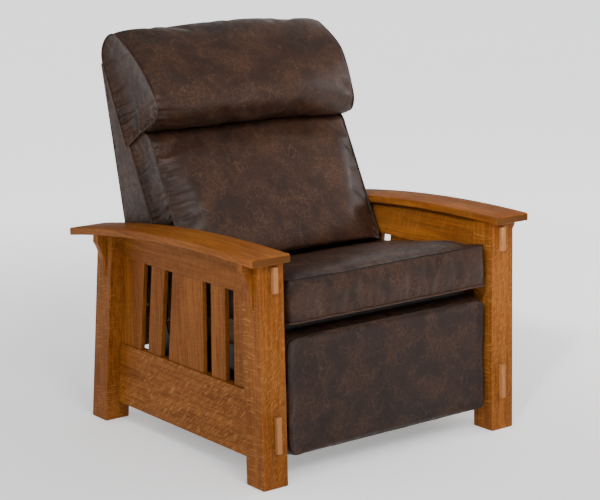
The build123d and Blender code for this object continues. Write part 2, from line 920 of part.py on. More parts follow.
def plate_outline():
    """Outline of a seat plate: slotted leg at the front, web, and hinge tail at the rear."""
    half_leg = plate_leg_width / 2
    slot_low, slot_high = CLOSED["slot"], OPENED["slot"]
    lean = (slot_high[0] - slot_low[0]) / (slot_high[1] - slot_low[1])

    def leg(side, height):
        return slot_low[0] + (height - slot_low[1]) * lean + side * half_leg, height

    foot = slot_low[1] - plate_leg_foot
    root_y, root_z = CLOSED["root"]
    nose_top = root_z + plate_nose_rise
    web_front = plate_flange_setbacks[0]
    web_rear = plate_flange_setbacks[1]
    link_y, link_z = swing_top(1)
    tail_y, tail_z = behind(back_pivot_setback), back_pivot_height
    return [
        leg(-1, foot),
        leg(1, foot),
        leg(1, plate_bottom),
        (link_y + plate_edge_margin, plate_bottom),
        (link_y + plate_edge_margin, link_z + plate_edge_margin),
        (tail_y + plate_tail_radius, tail_z),
        (tail_y + plate_tail_radius / 2, tail_z + plate_tail_radius),
        (tail_y - plate_tail_radius / 2, tail_z + plate_tail_radius),
        (tail_y - plate_tail_radius, tail_z),
        (behind(web_rear), seat_frame_foot(web_rear)),
        (behind(web_front), seat_frame_foot(web_front)),
        (root_y + plate_nose_rise, nose_top),
        (root_y - plate_nose_rise, nose_top),
        leg(-1, root_z),
    ]


def seat_plate():
    """Steel plate under one side of the seat, with its flange, pivots and slot."""
    plate = slab(polygon(plate_outline()), plate_inner, plate_outer)
    plate = chamfer(plate.edges().filter_by(Axis.X), plate_corner_ease)
    front, rear = plate_flange_setbacks
    flange = polygon(
        [
            (behind(front), seat_frame_foot(front) - steel_gauge),
            (behind(rear), seat_frame_foot(rear) - steel_gauge),
            (behind(rear), seat_frame_foot(rear)),
            (behind(front), seat_frame_foot(front)),
        ]
    )
    plate += slab(flange, plate_inner - plate_flange_width, plate_inner)
    cut = (plate_inner - steel_gauge, plate_outer + steel_gauge)
    for spot in (swing_top(0), swing_top(1), back_pivot()):
        plate -= flatted(bolt_sides, pin_radius + pin_gap, spot, *cut)
    plate -= flatted(bolt_sides, link_pin_radius + pin_gap, CLOSED["root"], *cut)
    slot_length = CLOSED["slot"][1] - OPENED["slot"][1]
    low = between(CLOSED["slot"], OPENED["slot"], slot_end_room / slot_length)
    high = between(OPENED["slot"], CLOSED["slot"], slot_end_room / slot_length)
    plate -= slab(capsule(low, high, 2 * (link_pin_radius + pin_gap)), *cut)
    for spot in frame_screw_spots():
        plate -= frame_screw(spot, bolt_hole_gap)
    return plate


def frame_screw_spots():
    """(y, z) where the seat screws pass through a plate's flange into a side rail."""
    front, rear = plate_flange_setbacks
    setbacks = [front + (rear - front) * share for share in frame_screw_share]
    return [(behind(setback), seat_frame_foot(setback)) for setback in setbacks]


def frame_screw(spot, spare=0):
    """Screw up through the flange into the side rail, square to the tilted rail."""
    length = frame_screw_length + steel_gauge + spare
    shank = extrude(RegularPolygon(frame_screw_radius + spare, bolt_sides), amount=length)
    shank = Pos(0, 0, -steel_gauge) * shank
    x = seat_rail_outer - seat_rail_width / 2
    place = Pos(x, *spot) * Rot(-seat_tilt, 0, 0)
    if spare:
        return place * shank
    head = extrude(RegularPolygon(2 * frame_screw_radius, bolt_head_sides), amount=steel_gauge)
    head = Pos(0, 0, -2 * steel_gauge) * head
    return place * (shank + head)


def seat_rivets():
    """Pins fixed in the seat plates: swing links, scissor roots and back hinges."""
    link_in = swing_plane - steel_gauge / 2 - pin_gap
    link_out = swing_plane + steel_gauge / 2 + pin_gap
    plate = (plate_inner, plate_outer)
    heads = (plate_inner - pin_head_height, plate_inner), (link_out, link_out + pin_head_height)
    limits = (link_in, link_out), plate, (*heads, (plate_outer, link_in))
    pins = [fixed_pin(pin_radius, pin_head_radius, swing_top(index), *limits) for index in (0, 1)]
    link_face = link_inner_plane - steel_gauge / 2 - pin_gap
    root_in = link_inner_plane + steel_gauge / 2 + pin_gap
    collars = (
        (link_face - link_head_height, link_face),
        (root_in, plate_inner),
        (plate_outer, plate_outer + link_head_height),
    )
    journal = (link_face, root_in)
    pins.append(fixed_pin(link_pin_radius, link_head_radius, CLOSED["root"], journal, plate, collars))
    washer = back_half + pin_gap
    collars = (washer, plate_inner), (plate_outer, plate_outer + pin_head_height)
    journal = (back_half - stile_thickness, washer)
    pins.append(fixed_pin(pin_radius, pin_head_radius, back_pivot(), journal, plate, collars))
    return both_sides(pins)


# Seat frame, springs and deck


def tilted_rail(front, rear, height, drop):
    """YZ outline of a seat rail that hangs from the tilted seat line."""
    return polygon(
        [
            (behind(front), seat_line(front) - drop),
            (behind(rear), seat_line(rear) - drop),
            (behind(rear), seat_line(rear) - height),
            (behind(front), seat_line(front) - height),
        ]
    )


def seat_side_rails():
    """Wood side rails of the seat frame, on the plates' flanges."""
    front = front_rail_setback + front_rail_thickness
    profile = tilted_rail(front, seat_rail_rear, seat_rail_height, 0)
    rail = slab(profile, seat_rail_outer - seat_rail_width, seat_rail_outer)
    for spot in frame_screw_spots():
        rail -= frame_screw(spot, bolt_hole_gap)
    return both_sides([rail])


def spring_seat():
    """Depth of the cross rails' tops under the seat line, where the springs and clips lie."""
    return (spring_wire + clip_gauge) / cos(radians(seat_tilt))


def seat_front_rail():
    """Covered front rail of the seat frame."""
    front, rear = front_rail_setback, front_rail_setback + front_rail_thickness
    profile = polygon(
        [
            (behind(front), front_rail_bottom),
            (behind(rear), front_rail_bottom),
            (behind(rear), seat_line(rear) - spring_seat()),
            (behind(front), seat_line(front) - spring_seat()),
        ]
    )
    return slab(profile, -front_rail_width / 2, front_rail_width / 2)


def seat_rear_rail():
    """Rear rail of the seat frame, between the side rails."""
    front = seat_rail_rear - rear_rail_thickness
    profile = tilted_rail(front, seat_rail_rear, seat_rail_height, spring_seat())
    x_end = seat_rail_outer - seat_rail_width
    return slab(profile, -x_end, x_end)


def bent_wire(path):
    """Outline of a wire of even width along a path, with mitred bends."""
    normals = []
    for start, end in zip(path, path[1:]):
        run = sqrt((end[0] - start[0]) ** 2 + (end[1] - start[1]) ** 2)
        normals.append(((start[1] - end[1]) / run, (end[0] - start[0]) / run))
    left, right = [], []
    for spot, first, last in zip(path, normals[:1] + normals, normals + normals[-1:]):
        reach = spring_wire / 2 / (1 + first[0] * last[0] + first[1] * last[1])
        x, y = (first[0] + last[0]) * reach, (first[1] + last[1]) * reach
        left.append((spot[0] + x, spot[1] + y))
        right.append((spot[0] - x, spot[1] - y))
    return left + right[::-1]


def zigzag_spring(length):
    """A zigzag spring that starts at the origin and runs along +Y, on the XY plane."""
    count = round(length / spring_pitch)
    half = spring_swing / 2
    path = [(-half, 0)]
    for turn in range(count):
        side = half if turn % 2 == 0 else -half
        path.append((side, turn * length / count))
        path.append((side, (turn + 1) * length / count))
    path.append((-path[-1][0], length))
    corners = [Vector(x, y, 0) for x, y in bent_wire(path)]
    return extrude(make_face(Polyline(*corners, close=True)), amount=spring_wire, dir=(0, 0, 1))


def spring_clip(place, side):
    """A clip over a spring's end bar; its tab stands beyond the bar on the given side."""
    top = spring_wire + clip_gauge
    y_far = side * clip_length * 2 / 3
    half = clip_width / 2
    cap = block(-half, half, y_far, -side * clip_length / 3, spring_wire, top)
    return place * (cap + block(-half, half, y_far, y_far - side * clip_gauge, 0, top))


def spring_row(count, spacing, y, z, angle, length):
    """Springs side by side and their clips, from a (y, z) start and at an angle to the floor."""
    springs, clips = [], []
    for index in range(count):
        place = Pos((index - (count - 1) / 2) * spacing, y, z) * Rot(angle, 0, 0)
        springs.append(place * zigzag_spring(length))
        clips.append(spring_clip(place, -1))
        clips.append(spring_clip(place * Pos(0, length, 0), 1))
    return Compound(children=springs), Compound(children=clips)


def seat_spring_row():
    """The seat's springs and clips, lying on the front and rear rails."""
    front = front_rail_setback + front_rail_thickness / 2
    rear = seat_rail_rear - rear_rail_thickness / 2
    length = (rear - front) / cos(radians(seat_tilt))
    z = seat_line(front) - spring_seat()
    return spring_row(seat_spring_count, seat_spring_spacing, behind(front), z, -seat_tilt, length)


def seat_deck():
    """Stitched deck pad over the springs, under the cushion."""
    front, rear = front_rail_setback, seat_rail_rear
    profile = polygon(
        [
            (behind(front), seat_line(front)),
            (behind(rear), seat_line(rear)),
            (behind(rear), seat_line(rear) + deck_thickness),
            (behind(front), seat_line(front) + deck_thickness),
        ]
    )
    return slab(profile, -seat_rail_outer, seat_rail_outer)


# Cushions

# Stations across a cushion, as shares of its half width, each with its share of the crown
cushion_stations = ((-1, 0.04), (-0.94, 0.45), (-0.8, 0.86), (0, 1), (0.8, 0.86), (0.94, 0.45), (1, 0.04))


def across(width, section):
    """A cushion skinned over its sections, which swell toward the middle."""
    sections = [Pos(share * width / 2, 0, 0) * section(full) for share, full in cushion_stations]
    return loft(sections, ruled=True)


def drawn_in(cushion, width, middle, span, lean):
    """A cushion whose sides are pulled in by shallow round hollows, square to its length."""
    radius = (span / 2) ** 2 / (2 * cushion_draw)
    for side in (-1, 1):
        x = side * (width / 2 - cushion_draw + radius)
        cushion -= Pos(x, *middle) * Rot(lean, 0, 0) * Cylinder(radius, 2 * span)
    return cushion


def seat_top(setback, full):
    """Height of the seat cushion behind its crest, at a share of the crown."""
    base = seat_front_top - (setback - seat_setback - seat_front_lean) * tan(radians(seat_tilt))
    run = (setback - seat_crown_setback) / (seat_rear - seat_crown_setback)
    return base + full * (seat_crown * (1 - run) + 4 * seat_top_sag * run * (1 - run))


def seat_section(full):
    """YZ outline of the seat cushion."""
    rear_bottom = seat_front_bottom - seat_depth * tan(radians(seat_tilt))
    foot = (behind(seat_setback), seat_front_bottom)
    brow = (behind(seat_setback + seat_front_lean), seat_front_top)
    face = (behind(seat_setback - seat_bulge), (seat_front_bottom + seat_front_top) / 2)
    crest = (behind(seat_crown_setback), seat_top(seat_crown_setback, full))
    roll_y = brow[0] + (crest[0] - brow[0]) * seat_roll_share
    roll_base = seat_front_top - (roll_y - brow[0]) * tan(radians(seat_tilt))
    roll = (roll_y, roll_base + seat_crown * seat_roll_height_share * full)
    dip = (seat_crown_setback + seat_rear) / 2
    heel = (behind(seat_rear), seat_top(seat_rear, full))
    return outline(
        [
            (foot, face, brow),
            (brow, roll, crest),
            (crest, (behind(dip), seat_top(dip, full)), heel),
            (heel, (behind(seat_rear), rear_bottom)),
            ((behind(seat_rear), rear_bottom), foot),
        ]
    )


def seat_cushion():
    """Boxed seat cushion with a crowned top."""
    cushion = across(seat_width, seat_section)
    middle = (behind(seat_setback + seat_depth / 2), seat_front_bottom)
    return drawn_in(cushion, seat_width, middle, seat_depth, 0)


def seam(height):
    """Y of the seam between the cushions and the reclining back, at a height."""
    setback = seat_rear + back_seam_behind_seat
    return behind(setback) + (height - back_seam_height) * tan(radians(back_seam_lean))


def from_seam_top(step):
    """(y, z) of a step from the top of the seam."""
    return seam(back_top) + step[0], back_top + step[1]


def lumbar_front(height):
    """Y of the lumbar cushion's front welt at a height."""
    return seam(height) - lumbar_thickness / cos(radians(back_seam_lean))


def lumbar_foot():
    """Y where the lumbar cushion's front welt meets the seat."""
    lean, tilt = tan(radians(back_seam_lean)), tan(radians(seat_tilt))
    run = lumbar_front(seat_front_top) - behind(seat_setback + seat_front_lean)
    return behind(seat_setback + seat_front_lean) + run / (1 + lean * tilt)


def lumbar_section(full):
    """YZ outline of the lumbar cushion."""
    toe_y = lumbar_foot() - lumbar_crown * full
    toe = (toe_y, seat_top(toe_y - FRONT, full) + lumbar_seat_gap)
    heel_height = seat_top(seat_rear, full) + lumbar_seat_gap
    heel = (seam(heel_height), heel_height)
    shoulder = (lumbar_front(lumbar_roll_height) - lumbar_crown_top * full, lumbar_roll_height)
    belly = between(toe, shoulder, 1 / 2)
    belly = (belly[0] - lumbar_crown_top * full - soft_gap, belly[1])
    ridge_y, ridge_z = from_seam_top(crease)
    ridge = (ridge_y, ridge_z - 3 * soft_gap)
    roll = between(shoulder, ridge, 1 / 2)
    roll = (roll[0] - lumbar_crown_top / 2, roll[1] + lumbar_crown_top / 2)
    fold = (seam(fold_height - 3 * soft_gap), fold_height - 3 * soft_gap)
    front = [(toe, belly, shoulder), (shoulder, roll, ridge)]
    return outline(front + [(ridge, fold), (fold, heel), (heel, toe)])


def lumbar_cushion():
    """Lower back cushion, tucked under the headrest pillow."""
    cushion = across(lumbar_width, lumbar_section)
    height = (seat_front_top + lumbar_roll_height) / 2
    span = (lumbar_roll_height - seat_front_bottom) / cos(radians(back_seam_lean))
    return drawn_in(cushion, lumbar_width, (lumbar_front(height), height), span, 90 - back_seam_lean)


def pillow_section(full):
    """YZ outline of the headrest pillow, which overhangs the lumbar cushion and the back's top."""
    swell = pillow_crown * full

    def spot(step, forward, up):
        y, z = from_seam_top(step)
        return y - forward * swell, z + up * swell

    fold = (seam(fold_height), fold_height)
    ridge = from_seam_top(crease)
    nose_low = spot(pillow_nose_low, 1 / 2, -1 / 2)
    middle = between(ridge, nose_low, 1 / 2)
    chin = (middle[0] - soft_gap, middle[1] - soft_gap - swell * 2 / 3)
    nose_top = spot(pillow_nose_top, 1 / 2, 0)
    top = spot(pillow_front_top, 0, 1)
    rear_low_height = back_top + pillow_rear_rise
    rear_low = (seam(rear_low_height), rear_low_height)
    rear_top = from_seam_top(pillow_rear_top)
    return outline(
        [
            (ridge, chin, nose_low),
            (nose_low, spot(pillow_nose, 1 / 2, 0), nose_top),
            (nose_top, spot(pillow_front, 1 / 2, 1 / 2), top),
            (top, spot(pillow_back_top, 0, 1 / 2), rear_top),
            (rear_top, rear_low),
            (rear_low, fold),
            (fold, ridge),
        ]
    )


def headrest_pillow():
    """Pillow that folds over the top of the back."""
    return across(pillow_width, pillow_section)


# Reclining back


def back_pivot():
    """(y, z) of the hinge between the back and the seat plates."""
    return behind(back_pivot_setback), back_pivot_height


def back_rear(height, inside=0):
    """Y of the back's rear face at a height, or of a layer inside it."""
    lean = radians(back_rear_lean)
    rail_top = back_rail_spans[1][1]
    depth = back_rail_inset + back_rail_thickness + back_rail_room + cover_gauge / cos(lean)
    return seam(rail_top) + depth + (height - rail_top) * tan(lean) - inside / cos(lean)


def back_stile():
    """Wood stile of the back: a wedge with a rounded foot on the hinge."""
    y, z = back_pivot()
    top = back_top - cover_gauge
    front = y - plate_tail_radius
    knee = back_seam_height + (front - soft_gap - seam(back_seam_height)) / tan(radians(back_seam_lean))
    corners = [
        (seam(top) + soft_gap, top),
        (back_rear(top, cover_gauge), top),
        (back_rear(stile_heel_height, cover_gauge), stile_heel_height),
        (y + plate_tail_radius, z),
        (front, z),
        (front, knee),
    ]
    x_outer = back_half - cover_gauge
    x_inner = x_outer - stile_thickness
    stile = slab(polygon(corners), x_inner, x_outer) + rod(plate_tail_radius, (y, z), x_inner, x_outer)
    stile -= rod(pin_radius + bolt_hole_gap, (y, z), x_inner - stile_thickness, x_outer + stile_thickness)
    for screw in back_screws(bolt_hole_gap):
        stile -= screw
    return stile


def back_rails():
    """Cross rails of the back: two that hold the springs and one along the rear hem."""
    x_end = back_half - cover_gauge - stile_thickness
    rails = []
    for low, high in back_rail_spans:
        front_low, front_high = seam(low) + back_rail_inset, seam(high) + back_rail_inset
        corners = [
            (front_low, low),
            (front_low + back_rail_thickness, low),
            (front_high + back_rail_thickness, high),
            (front_high, high),
        ]
        rails.append(slab(polygon(corners), -x_end, x_end))
    low, high = hem_rail_span
    corners = [
        (back_rear(low, cover_gauge), low),
        (back_rear(high, cover_gauge), high),
        (back_rear(high, cover_gauge + back_rail_thickness), high),
        (back_rear(low, cover_gauge + back_rail_thickness), low),
    ]
    rails.append(slab(polygon(corners), -x_end, x_end))
    return Compound(children=rails)


def back_spring_row():
    """The back's springs and clips, lying on the fronts of its spring rails."""
    low = (back_rail_spans[0][0] + 4 * back_rail_spans[0][1]) / 5
    high = (4 * back_rail_spans[1][0] + back_rail_spans[1][1]) / 5
    lean = radians(back_seam_lean)
    length = (high - low) / cos(lean)
    y = seam(low) + back_rail_inset
    return spring_row(back_spring_count, back_spring_spacing, y, low, 90 - back_seam_lean, length)


def back_cover():
    """Leather shell over the sides, the rear and the top of the back."""
    corners = [
        (seam(cover_side_bottom) + soft_gap, cover_side_bottom),
        (behind(seat_rear + cover_side_behind_seat), cover_side_bottom),
        (back_rear(cover_rear_bottom), cover_rear_bottom),
        (back_rear(back_top), back_top),
        (seam(back_top) + soft_gap, back_top),
    ]
    low = cover_rear_bottom - cut_overrun
    top = back_top - cover_gauge
    hollow = [
        (FRONT, low),
        (back_rear(low, cover_gauge), low),
        (back_rear(top, cover_gauge), top),
        (FRONT, top),
    ]
    x_inner = back_half - cover_gauge
    return slab(polygon(corners), -back_half, back_half) - slab(polygon(hollow), -x_inner, x_inner)


def back_bracket():
    """Steel hinge bracket on the outside of a back stile."""
    y, z = back_pivot()
    top = (y, back_bracket_top - back_bracket_width / 2)
    bracket = slab(bar_outline((y, z), top, back_bracket_width), back_half - back_bracket_gauge, back_half)
    bracket -= rod(pin_radius + pin_gap, (y, z), back_half - cut_overrun, back_half + cut_overrun)
    for screw in back_screws(bolt_hole_gap):
        bracket -= screw
    return bracket


def back_screws(spare=0):
    """Screws from a hinge bracket into its stile."""
    screws = []
    for height in back_screw_heights:
        spot = (behind(back_pivot_setback), height)
        x_tip = back_half - back_bracket_gauge - back_screw_length - spare
        screw = flatted(bolt_sides, back_screw_radius + spare, spot, x_tip, back_half)
        if not spare:
            head = (back_half, back_half + link_head_height)
            screw += flatted(bolt_head_sides, 2 * back_screw_radius, spot, *head)
        screws.append(screw)
    return screws


# Every node of the chair


def write_frame():
    """Nodes that stand still."""
    save_pair("front_post", front_post())
    save_pair("rear_post", rear_post())
    save_pair("arm", arm())
    save_pair("upper_rail", upper_rail())
    save_pair("lower_rail", lower_rail())
    save_pair("wide_slat", slat("wide slat"))
    narrow = ("front slat", "rear slat", "end slat")
    save_pair("narrow_slats", Compound(children=[slat(name) for name in narrow]))
    save_pair("end_stiles", Compound(children=[slat(name) for name in ("front stile", "rear stile")]))
    save("corbels", corbels())
    save("rear_stretcher", rear_stretcher())
    save("arm_dowels", both_sides(dowels()))
    save_pair("base_rail", base_rail())
    save("base_cross_tubes", cross_tubes())
    save("base_bolts", base_bolts())
    save("swing_link_pins", swing_pins())


def write_links():
    """Nodes of the swing links and of the footrest scissors."""
    for index, name in enumerate(("front", "rear")):
        save(name + "_swing_links", swing_links(index))
        save(name + "_sway_tube", sway_tube(index))
    save("scissor_root_links", root_links())
    save("scissor_torque_tube", torque_tube())
    save("scissor_root_rivets", scissor_rivets(("root_mid", "root_end")))
    save_pair("scissor_long_link", long_link())
    save_pair("scissor_short_link", short_link())
    save("footrest_links", footrest_links())
    save("footrest_rivets", scissor_rivets(("long_end", "rest_mid")))
    save("footrest_brackets", both_sides([footrest_bracket()]))
    save("footrest_board", footrest_board())
    save("footrest_pad", footrest_pad())


def write_seat():
    """Nodes that ride on the swing links."""
    save_pair("seat_plate", seat_plate())
    save("seat_rivets", seat_rivets())
    save("seat_side_rails", seat_side_rails())
    save("seat_front_rail", seat_front_rail())
    save("seat_rear_rail", seat_rear_rail())
    save("seat_frame_screws", both_sides([frame_screw(spot) for spot in frame_screw_spots()]))
    springs, clips = seat_spring_row()
    save("seat_springs", springs)
    save("seat_spring_clips", clips)
    save("seat_deck", seat_deck())
    save("seat_cushion", seat_cushion())


def write_back():
    """Nodes of the reclining back."""
    save("back_stiles", both_sides([back_stile()]))
    save("back_rails", back_rails())
    springs, clips = back_spring_row()
    save("back_springs", springs)
    save("back_spring_clips", clips)
    save("back_cover", back_cover())
    save("back_brackets", both_sides([back_bracket()]))
    save("back_bracket_screws", both_sides(back_screws()))
    save("lumbar_cushion", lumbar_cushion())
    save("headrest_pillow", headrest_pillow())


os.makedirs("parts", exist_ok=True)
write_frame()
write_links()
write_seat()
write_back()
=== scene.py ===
import json
from math import atan2, cos, pi, radians, sin, tan

import bpy
import numpy as np
from mathutils import Matrix, Vector, noise


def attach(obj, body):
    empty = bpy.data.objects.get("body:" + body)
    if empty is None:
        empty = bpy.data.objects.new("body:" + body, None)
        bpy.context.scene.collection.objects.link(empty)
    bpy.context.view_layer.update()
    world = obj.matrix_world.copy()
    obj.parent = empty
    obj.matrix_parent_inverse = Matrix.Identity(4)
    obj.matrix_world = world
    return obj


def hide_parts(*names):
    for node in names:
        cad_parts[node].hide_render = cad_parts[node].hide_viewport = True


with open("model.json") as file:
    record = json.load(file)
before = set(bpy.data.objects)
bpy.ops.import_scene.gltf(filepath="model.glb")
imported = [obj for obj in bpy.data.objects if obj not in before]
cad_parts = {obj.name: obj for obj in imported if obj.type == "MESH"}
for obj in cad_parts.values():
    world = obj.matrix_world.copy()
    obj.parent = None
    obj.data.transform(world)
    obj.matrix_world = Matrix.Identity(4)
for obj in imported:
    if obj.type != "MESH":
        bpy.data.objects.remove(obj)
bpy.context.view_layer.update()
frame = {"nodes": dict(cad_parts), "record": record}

# Camera, found from the chair's straight edges in the photograph. Its turns are yaw, pitch down and roll.
camera_spot = (-2.649, -3.651, 1.408)
camera_turns = (36.13, 11.78, 1.29)
camera_lens = 105.3
camera_sensor = 36

# Places shared with the frame, in metres. A setback is behind the front posts' front faces.
front = -0.404
tilt = tan(radians(7))
lean = tan(radians(25.9))
lean_cos = cos(radians(25.9))
crown_reach = 0.031

# Seat cushion
seat_half = 0.309
seat_front = 0.003
seat_rear = 0.540
seat_top_front = 0.499
seat_low_front = 0.395
seat_lean = 0.003
seat_crown = 0.029
seat_side_reach = 0.021
seat_crest = 0.110
seat_sag = 0.004
seat_corner = 0.016
seat_bulge = 0.003
seat_side_rows = 12
side_draw = 0.005

# Lumbar cushion. A place is a setback and a height. An arc bows by at least the least bow.
least_bow = 0.0005
lumbar_half = 0.312
lumbar_depth = 0.104
lumbar_front_low = 0.499
lumbar_shoulder = 0.752
lumbar_ridge = (0.623, 0.787)
lumbar_fold = 0.741
lumbar_toe = 0.028
lumbar_crown = 0.010
lumbar_roll = 0.005
seat_clearance = 0.0022

# Headrest pillow: its places at the seams, and how they move forward and up as the case fills
pillow_half = 0.324
pillow_fold = 0.743
pillow_ridge = (0.623, 0.789)
pillow_rear_top = (0.803, 0.977)
pillow_rear_low = 0.956
pillow_swell = 0.013
chin_share = 0.667
pillow_places = {
    "nose_low": (0.5535, 0.825, 0.5, -0.5),
    "nose": (0.5345, 0.850, 0.5, 0),
    "nose_top": (0.5415, 0.880, 0.5, 0),
    "face": (0.628, 0.973, 0.5, 0.5),
    "top": (0.731, 1.037, 0, 1),
    "back": (0.783, 1.021, 0, 0.5),
}
pillow_nose = (0.540, 0.845)
droop_from = 0.10
droop_reach = 0.085
nose_droop = (-0.006, 0.020, -0.034)
crest_droop = (0.010, 0.0, -0.008)

# Two heights and the soft margin outside them: where seams are drawn up, and the pillow's crest
lumbar_drawn = (0.545, 0.745, 0.03)
pillow_drawn = (0.79, 0.86, 0.04)
pillow_crest = (0.99, 1.2, 0.06)

# Back and its leather shell
seam_setback = 0.615
seam_height = 0.575
back_half = 0.315
back_top = 0.953
rear_setback = 0.742
rear_height = 0.540
rear_lean = tan(radians(12))
cover_side_low = 0.392
cover_rear_low = 0.330
cover_knee = 0.620
cover_knee_share = 0.62
cover_corner_share = 0.93
cover_corner = 0.009
cover_thickness = 0.003
cover_seam_gap = 0.0005
cover_puff = 0.004
cover_dent = 0.0011
cover_hem_fold = 0.0013
cover_rows = 76
cover_along = 16
cover_across = 70
cover_turns = 4
cover_cord = 0.0022
cover_cord_inset = 0.0008
cord_places = 61

# Footrest pad and front rail
pad_sizes = dict(half_x=0.321, low=0.056, high=0.364, setback=0.006, depth=0.052)
pad_rounding = dict(corner=0.034, edge=0.017, swell=0.003)
rail_sizes = dict(half_x=0.300, low=0.325, high=0.3825, setback=0.064, depth=0.020)
rail_rounding = dict(corner=0.006, edge=0.006, swell=0.0008)
lip_inset = 0.45
lip_drop = 0.75

# Mesh points: their spacing, their spacing beside an edge, and how near counts as on it
mesh_step = 0.009
mesh_edge = 0.003
touching = 1e-6

# Cloth simulation
settle_cap = 0.009
settle_frames = 20
cloth_settings = dict(quality=6, mass=0.4, use_pressure=True, vertex_group_mass="held")
cloth_settings.update(tension_stiffness=18, compression_stiffness=12, shear_stiffness=8, bending_stiffness=3)

# Floor
floor_reach = 60
floor_glow = 0.35
far_glow = 1.0
glow_from = 0.9
glow_to = 3.6

# Sky, brightest towards its front
sky_front = (-0.55, -0.75, 0.20)
sky_dark = 0.22
sky_bright = 1.18

# Colours
oak_colors = {
    "dark band": (0.158, 0.044, 0.0062),
    "pale band": (0.258, 0.083, 0.0130),
    "streak": (0.098, 0.029, 0.0052),
    "cloud": (0.215, 0.079, 0.016),
    "fleck": (0.42, 0.185, 0.048),
    "pore": (0.055, 0.016, 0.003),
}
end_grain_colors = ((0.15, 0.055, 0.012), (0.10, 0.034, 0.007))
# Paler, pinker colour for tenons standing proud of the posts: partly the end grain's own tone, partly a
# painted highlight for their lit cheeks
tenon_tone_and_highlight = (0.40, 0.18, 0.075)
leather_colors = {
    "dark": (0.0180, 0.0084, 0.0052),
    "red": (0.0300, 0.0128, 0.0070),
    "cool": (0.0145, 0.0090, 0.0076),
    "crackle": (0.092, 0.044, 0.0225),
}
inner_wood_colors = ((0.20, 0.115, 0.055), (0.13, 0.070, 0.032))
plywood_colors = ((0.47, 0.33, 0.19), (0.33, 0.21, 0.11))
white = (1, 1, 1, 1)


# Mesh helpers


def behind(setback):
    """Y of a place at a setback."""
    return front + setback


def crown_share(distance, reach=crown_reach):
    """How far a stuffed face has risen at a distance from its seam."""
    return 1 - np.exp(-np.asarray(distance, float) / reach)


def hump(share):
    """0 at both ends of a run and 1 at its middle."""
    return 4 * share * (1 - share)


def eased(share):
    """A share, cut off at 0 and 1, with a soft start and end."""
    share = np.clip(share, 0, 1)
    return share * share * (3 - 2 * share)


def lerp(a, b, share):
    """The point at a share of the way between two points."""
    return tuple(p + (q - p) * share for p, q in zip(a, b))


def graded(length):
    """Stations from 0 to length, closer together near both ends."""
    near = [0.0]
    gap = mesh_edge
    while gap < mesh_step and near[-1] < length / 3:
        near.append(near[-1] + gap)
        gap *= 1.5
    inner = length - 2 * near[-1]
    count = max(2, round(inner / mesh_step))
    middle = [near[-1] + inner * i / count for i in range(1, count)]
    far = [length - spot for spot in reversed(near)]
    return np.array(near + middle + far)


def make_piece(name, points, faces):
    """A mesh object with smooth faces, in the scene."""
    mesh = bpy.data.meshes.new(name)
    mesh.from_pydata([tuple(map(float, p)) for p in points], [], faces)
    mesh.validate()
    mesh.update()
    piece = bpy.data.objects.new(name, mesh)
    bpy.context.scene.collection.objects.link(piece)
    mesh.shade_smooth()
    return piece


def points_of(mesh):
    """The vertices of a mesh as rows."""
    flat = np.zeros(len(mesh.vertices) * 3)
    mesh.vertices.foreach_get("co", flat)
    return flat.reshape(-1, 3)


def set_points(mesh, points):
    """Moves the vertices of a mesh to these rows."""
    mesh.vertices.foreach_set("co", np.asarray(points, float).ravel())
    mesh.update()


def normals_of(mesh):
    """The vertex normals of a mesh as rows."""
    flat = np.zeros(len(mesh.vertices) * 3)
    mesh.vertex_normals.foreach_get("vector", flat)
    return flat.reshape(-1, 3)


def field(points, size, seed, octaves=2):
    """Smooth noise from about -1 to 1 at each point, with lumps of this size."""
    shift = Vector((seed * 7.31, seed * 3.77, seed * 1.93))
    return np.array([noise.fractal(Vector(p) / size + shift, 0.6, 2.0, octaves) for p in points])


def within(value, low, high, soft):
    """1 between two limits, falling smoothly to 0 over a soft margin outside them."""
    return eased((value - low + soft) / soft) * eased((high + soft - value) / soft)


def straight(first, last, count):
    """Points along a line, with the last one left out."""
    return [lerp(first, last, i / count) for i in range(count)]


def arc(first, middle, last, count):
    """Points along the arc through three (y, z) points, with the last one left out."""
    (ax, ay), (bx, by), (cx, cy) = first, middle, last
    d = 2 * (ax * (by - cy) + bx * (cy - ay) + cx * (ay - by))
    a, b, c = ax * ax + ay * ay, bx * bx + by * by, cx * cx + cy * cy
    x = (a * (by - cy) + b * (cy - ay) + c * (ay - by)) / d
    y = (a * (cx - bx) + b * (ax - cx) + c * (bx - ax)) / d
    turns = [atan2(q - y, p - x) for p, q in (first, middle, last)]
    sweep = (turns[2] - turns[0]) % (2 * pi)
    if (turns[1] - turns[0]) % (2 * pi) > sweep:
        sweep -= 2 * pi
    radius = ((ax - x) ** 2 + (ay - y) ** 2) ** 0.5
    angles = [turns[0] + sweep * i / count for i in range(count)]
    return [(x + radius * cos(t), y + radius * sin(t)) for t in angles]


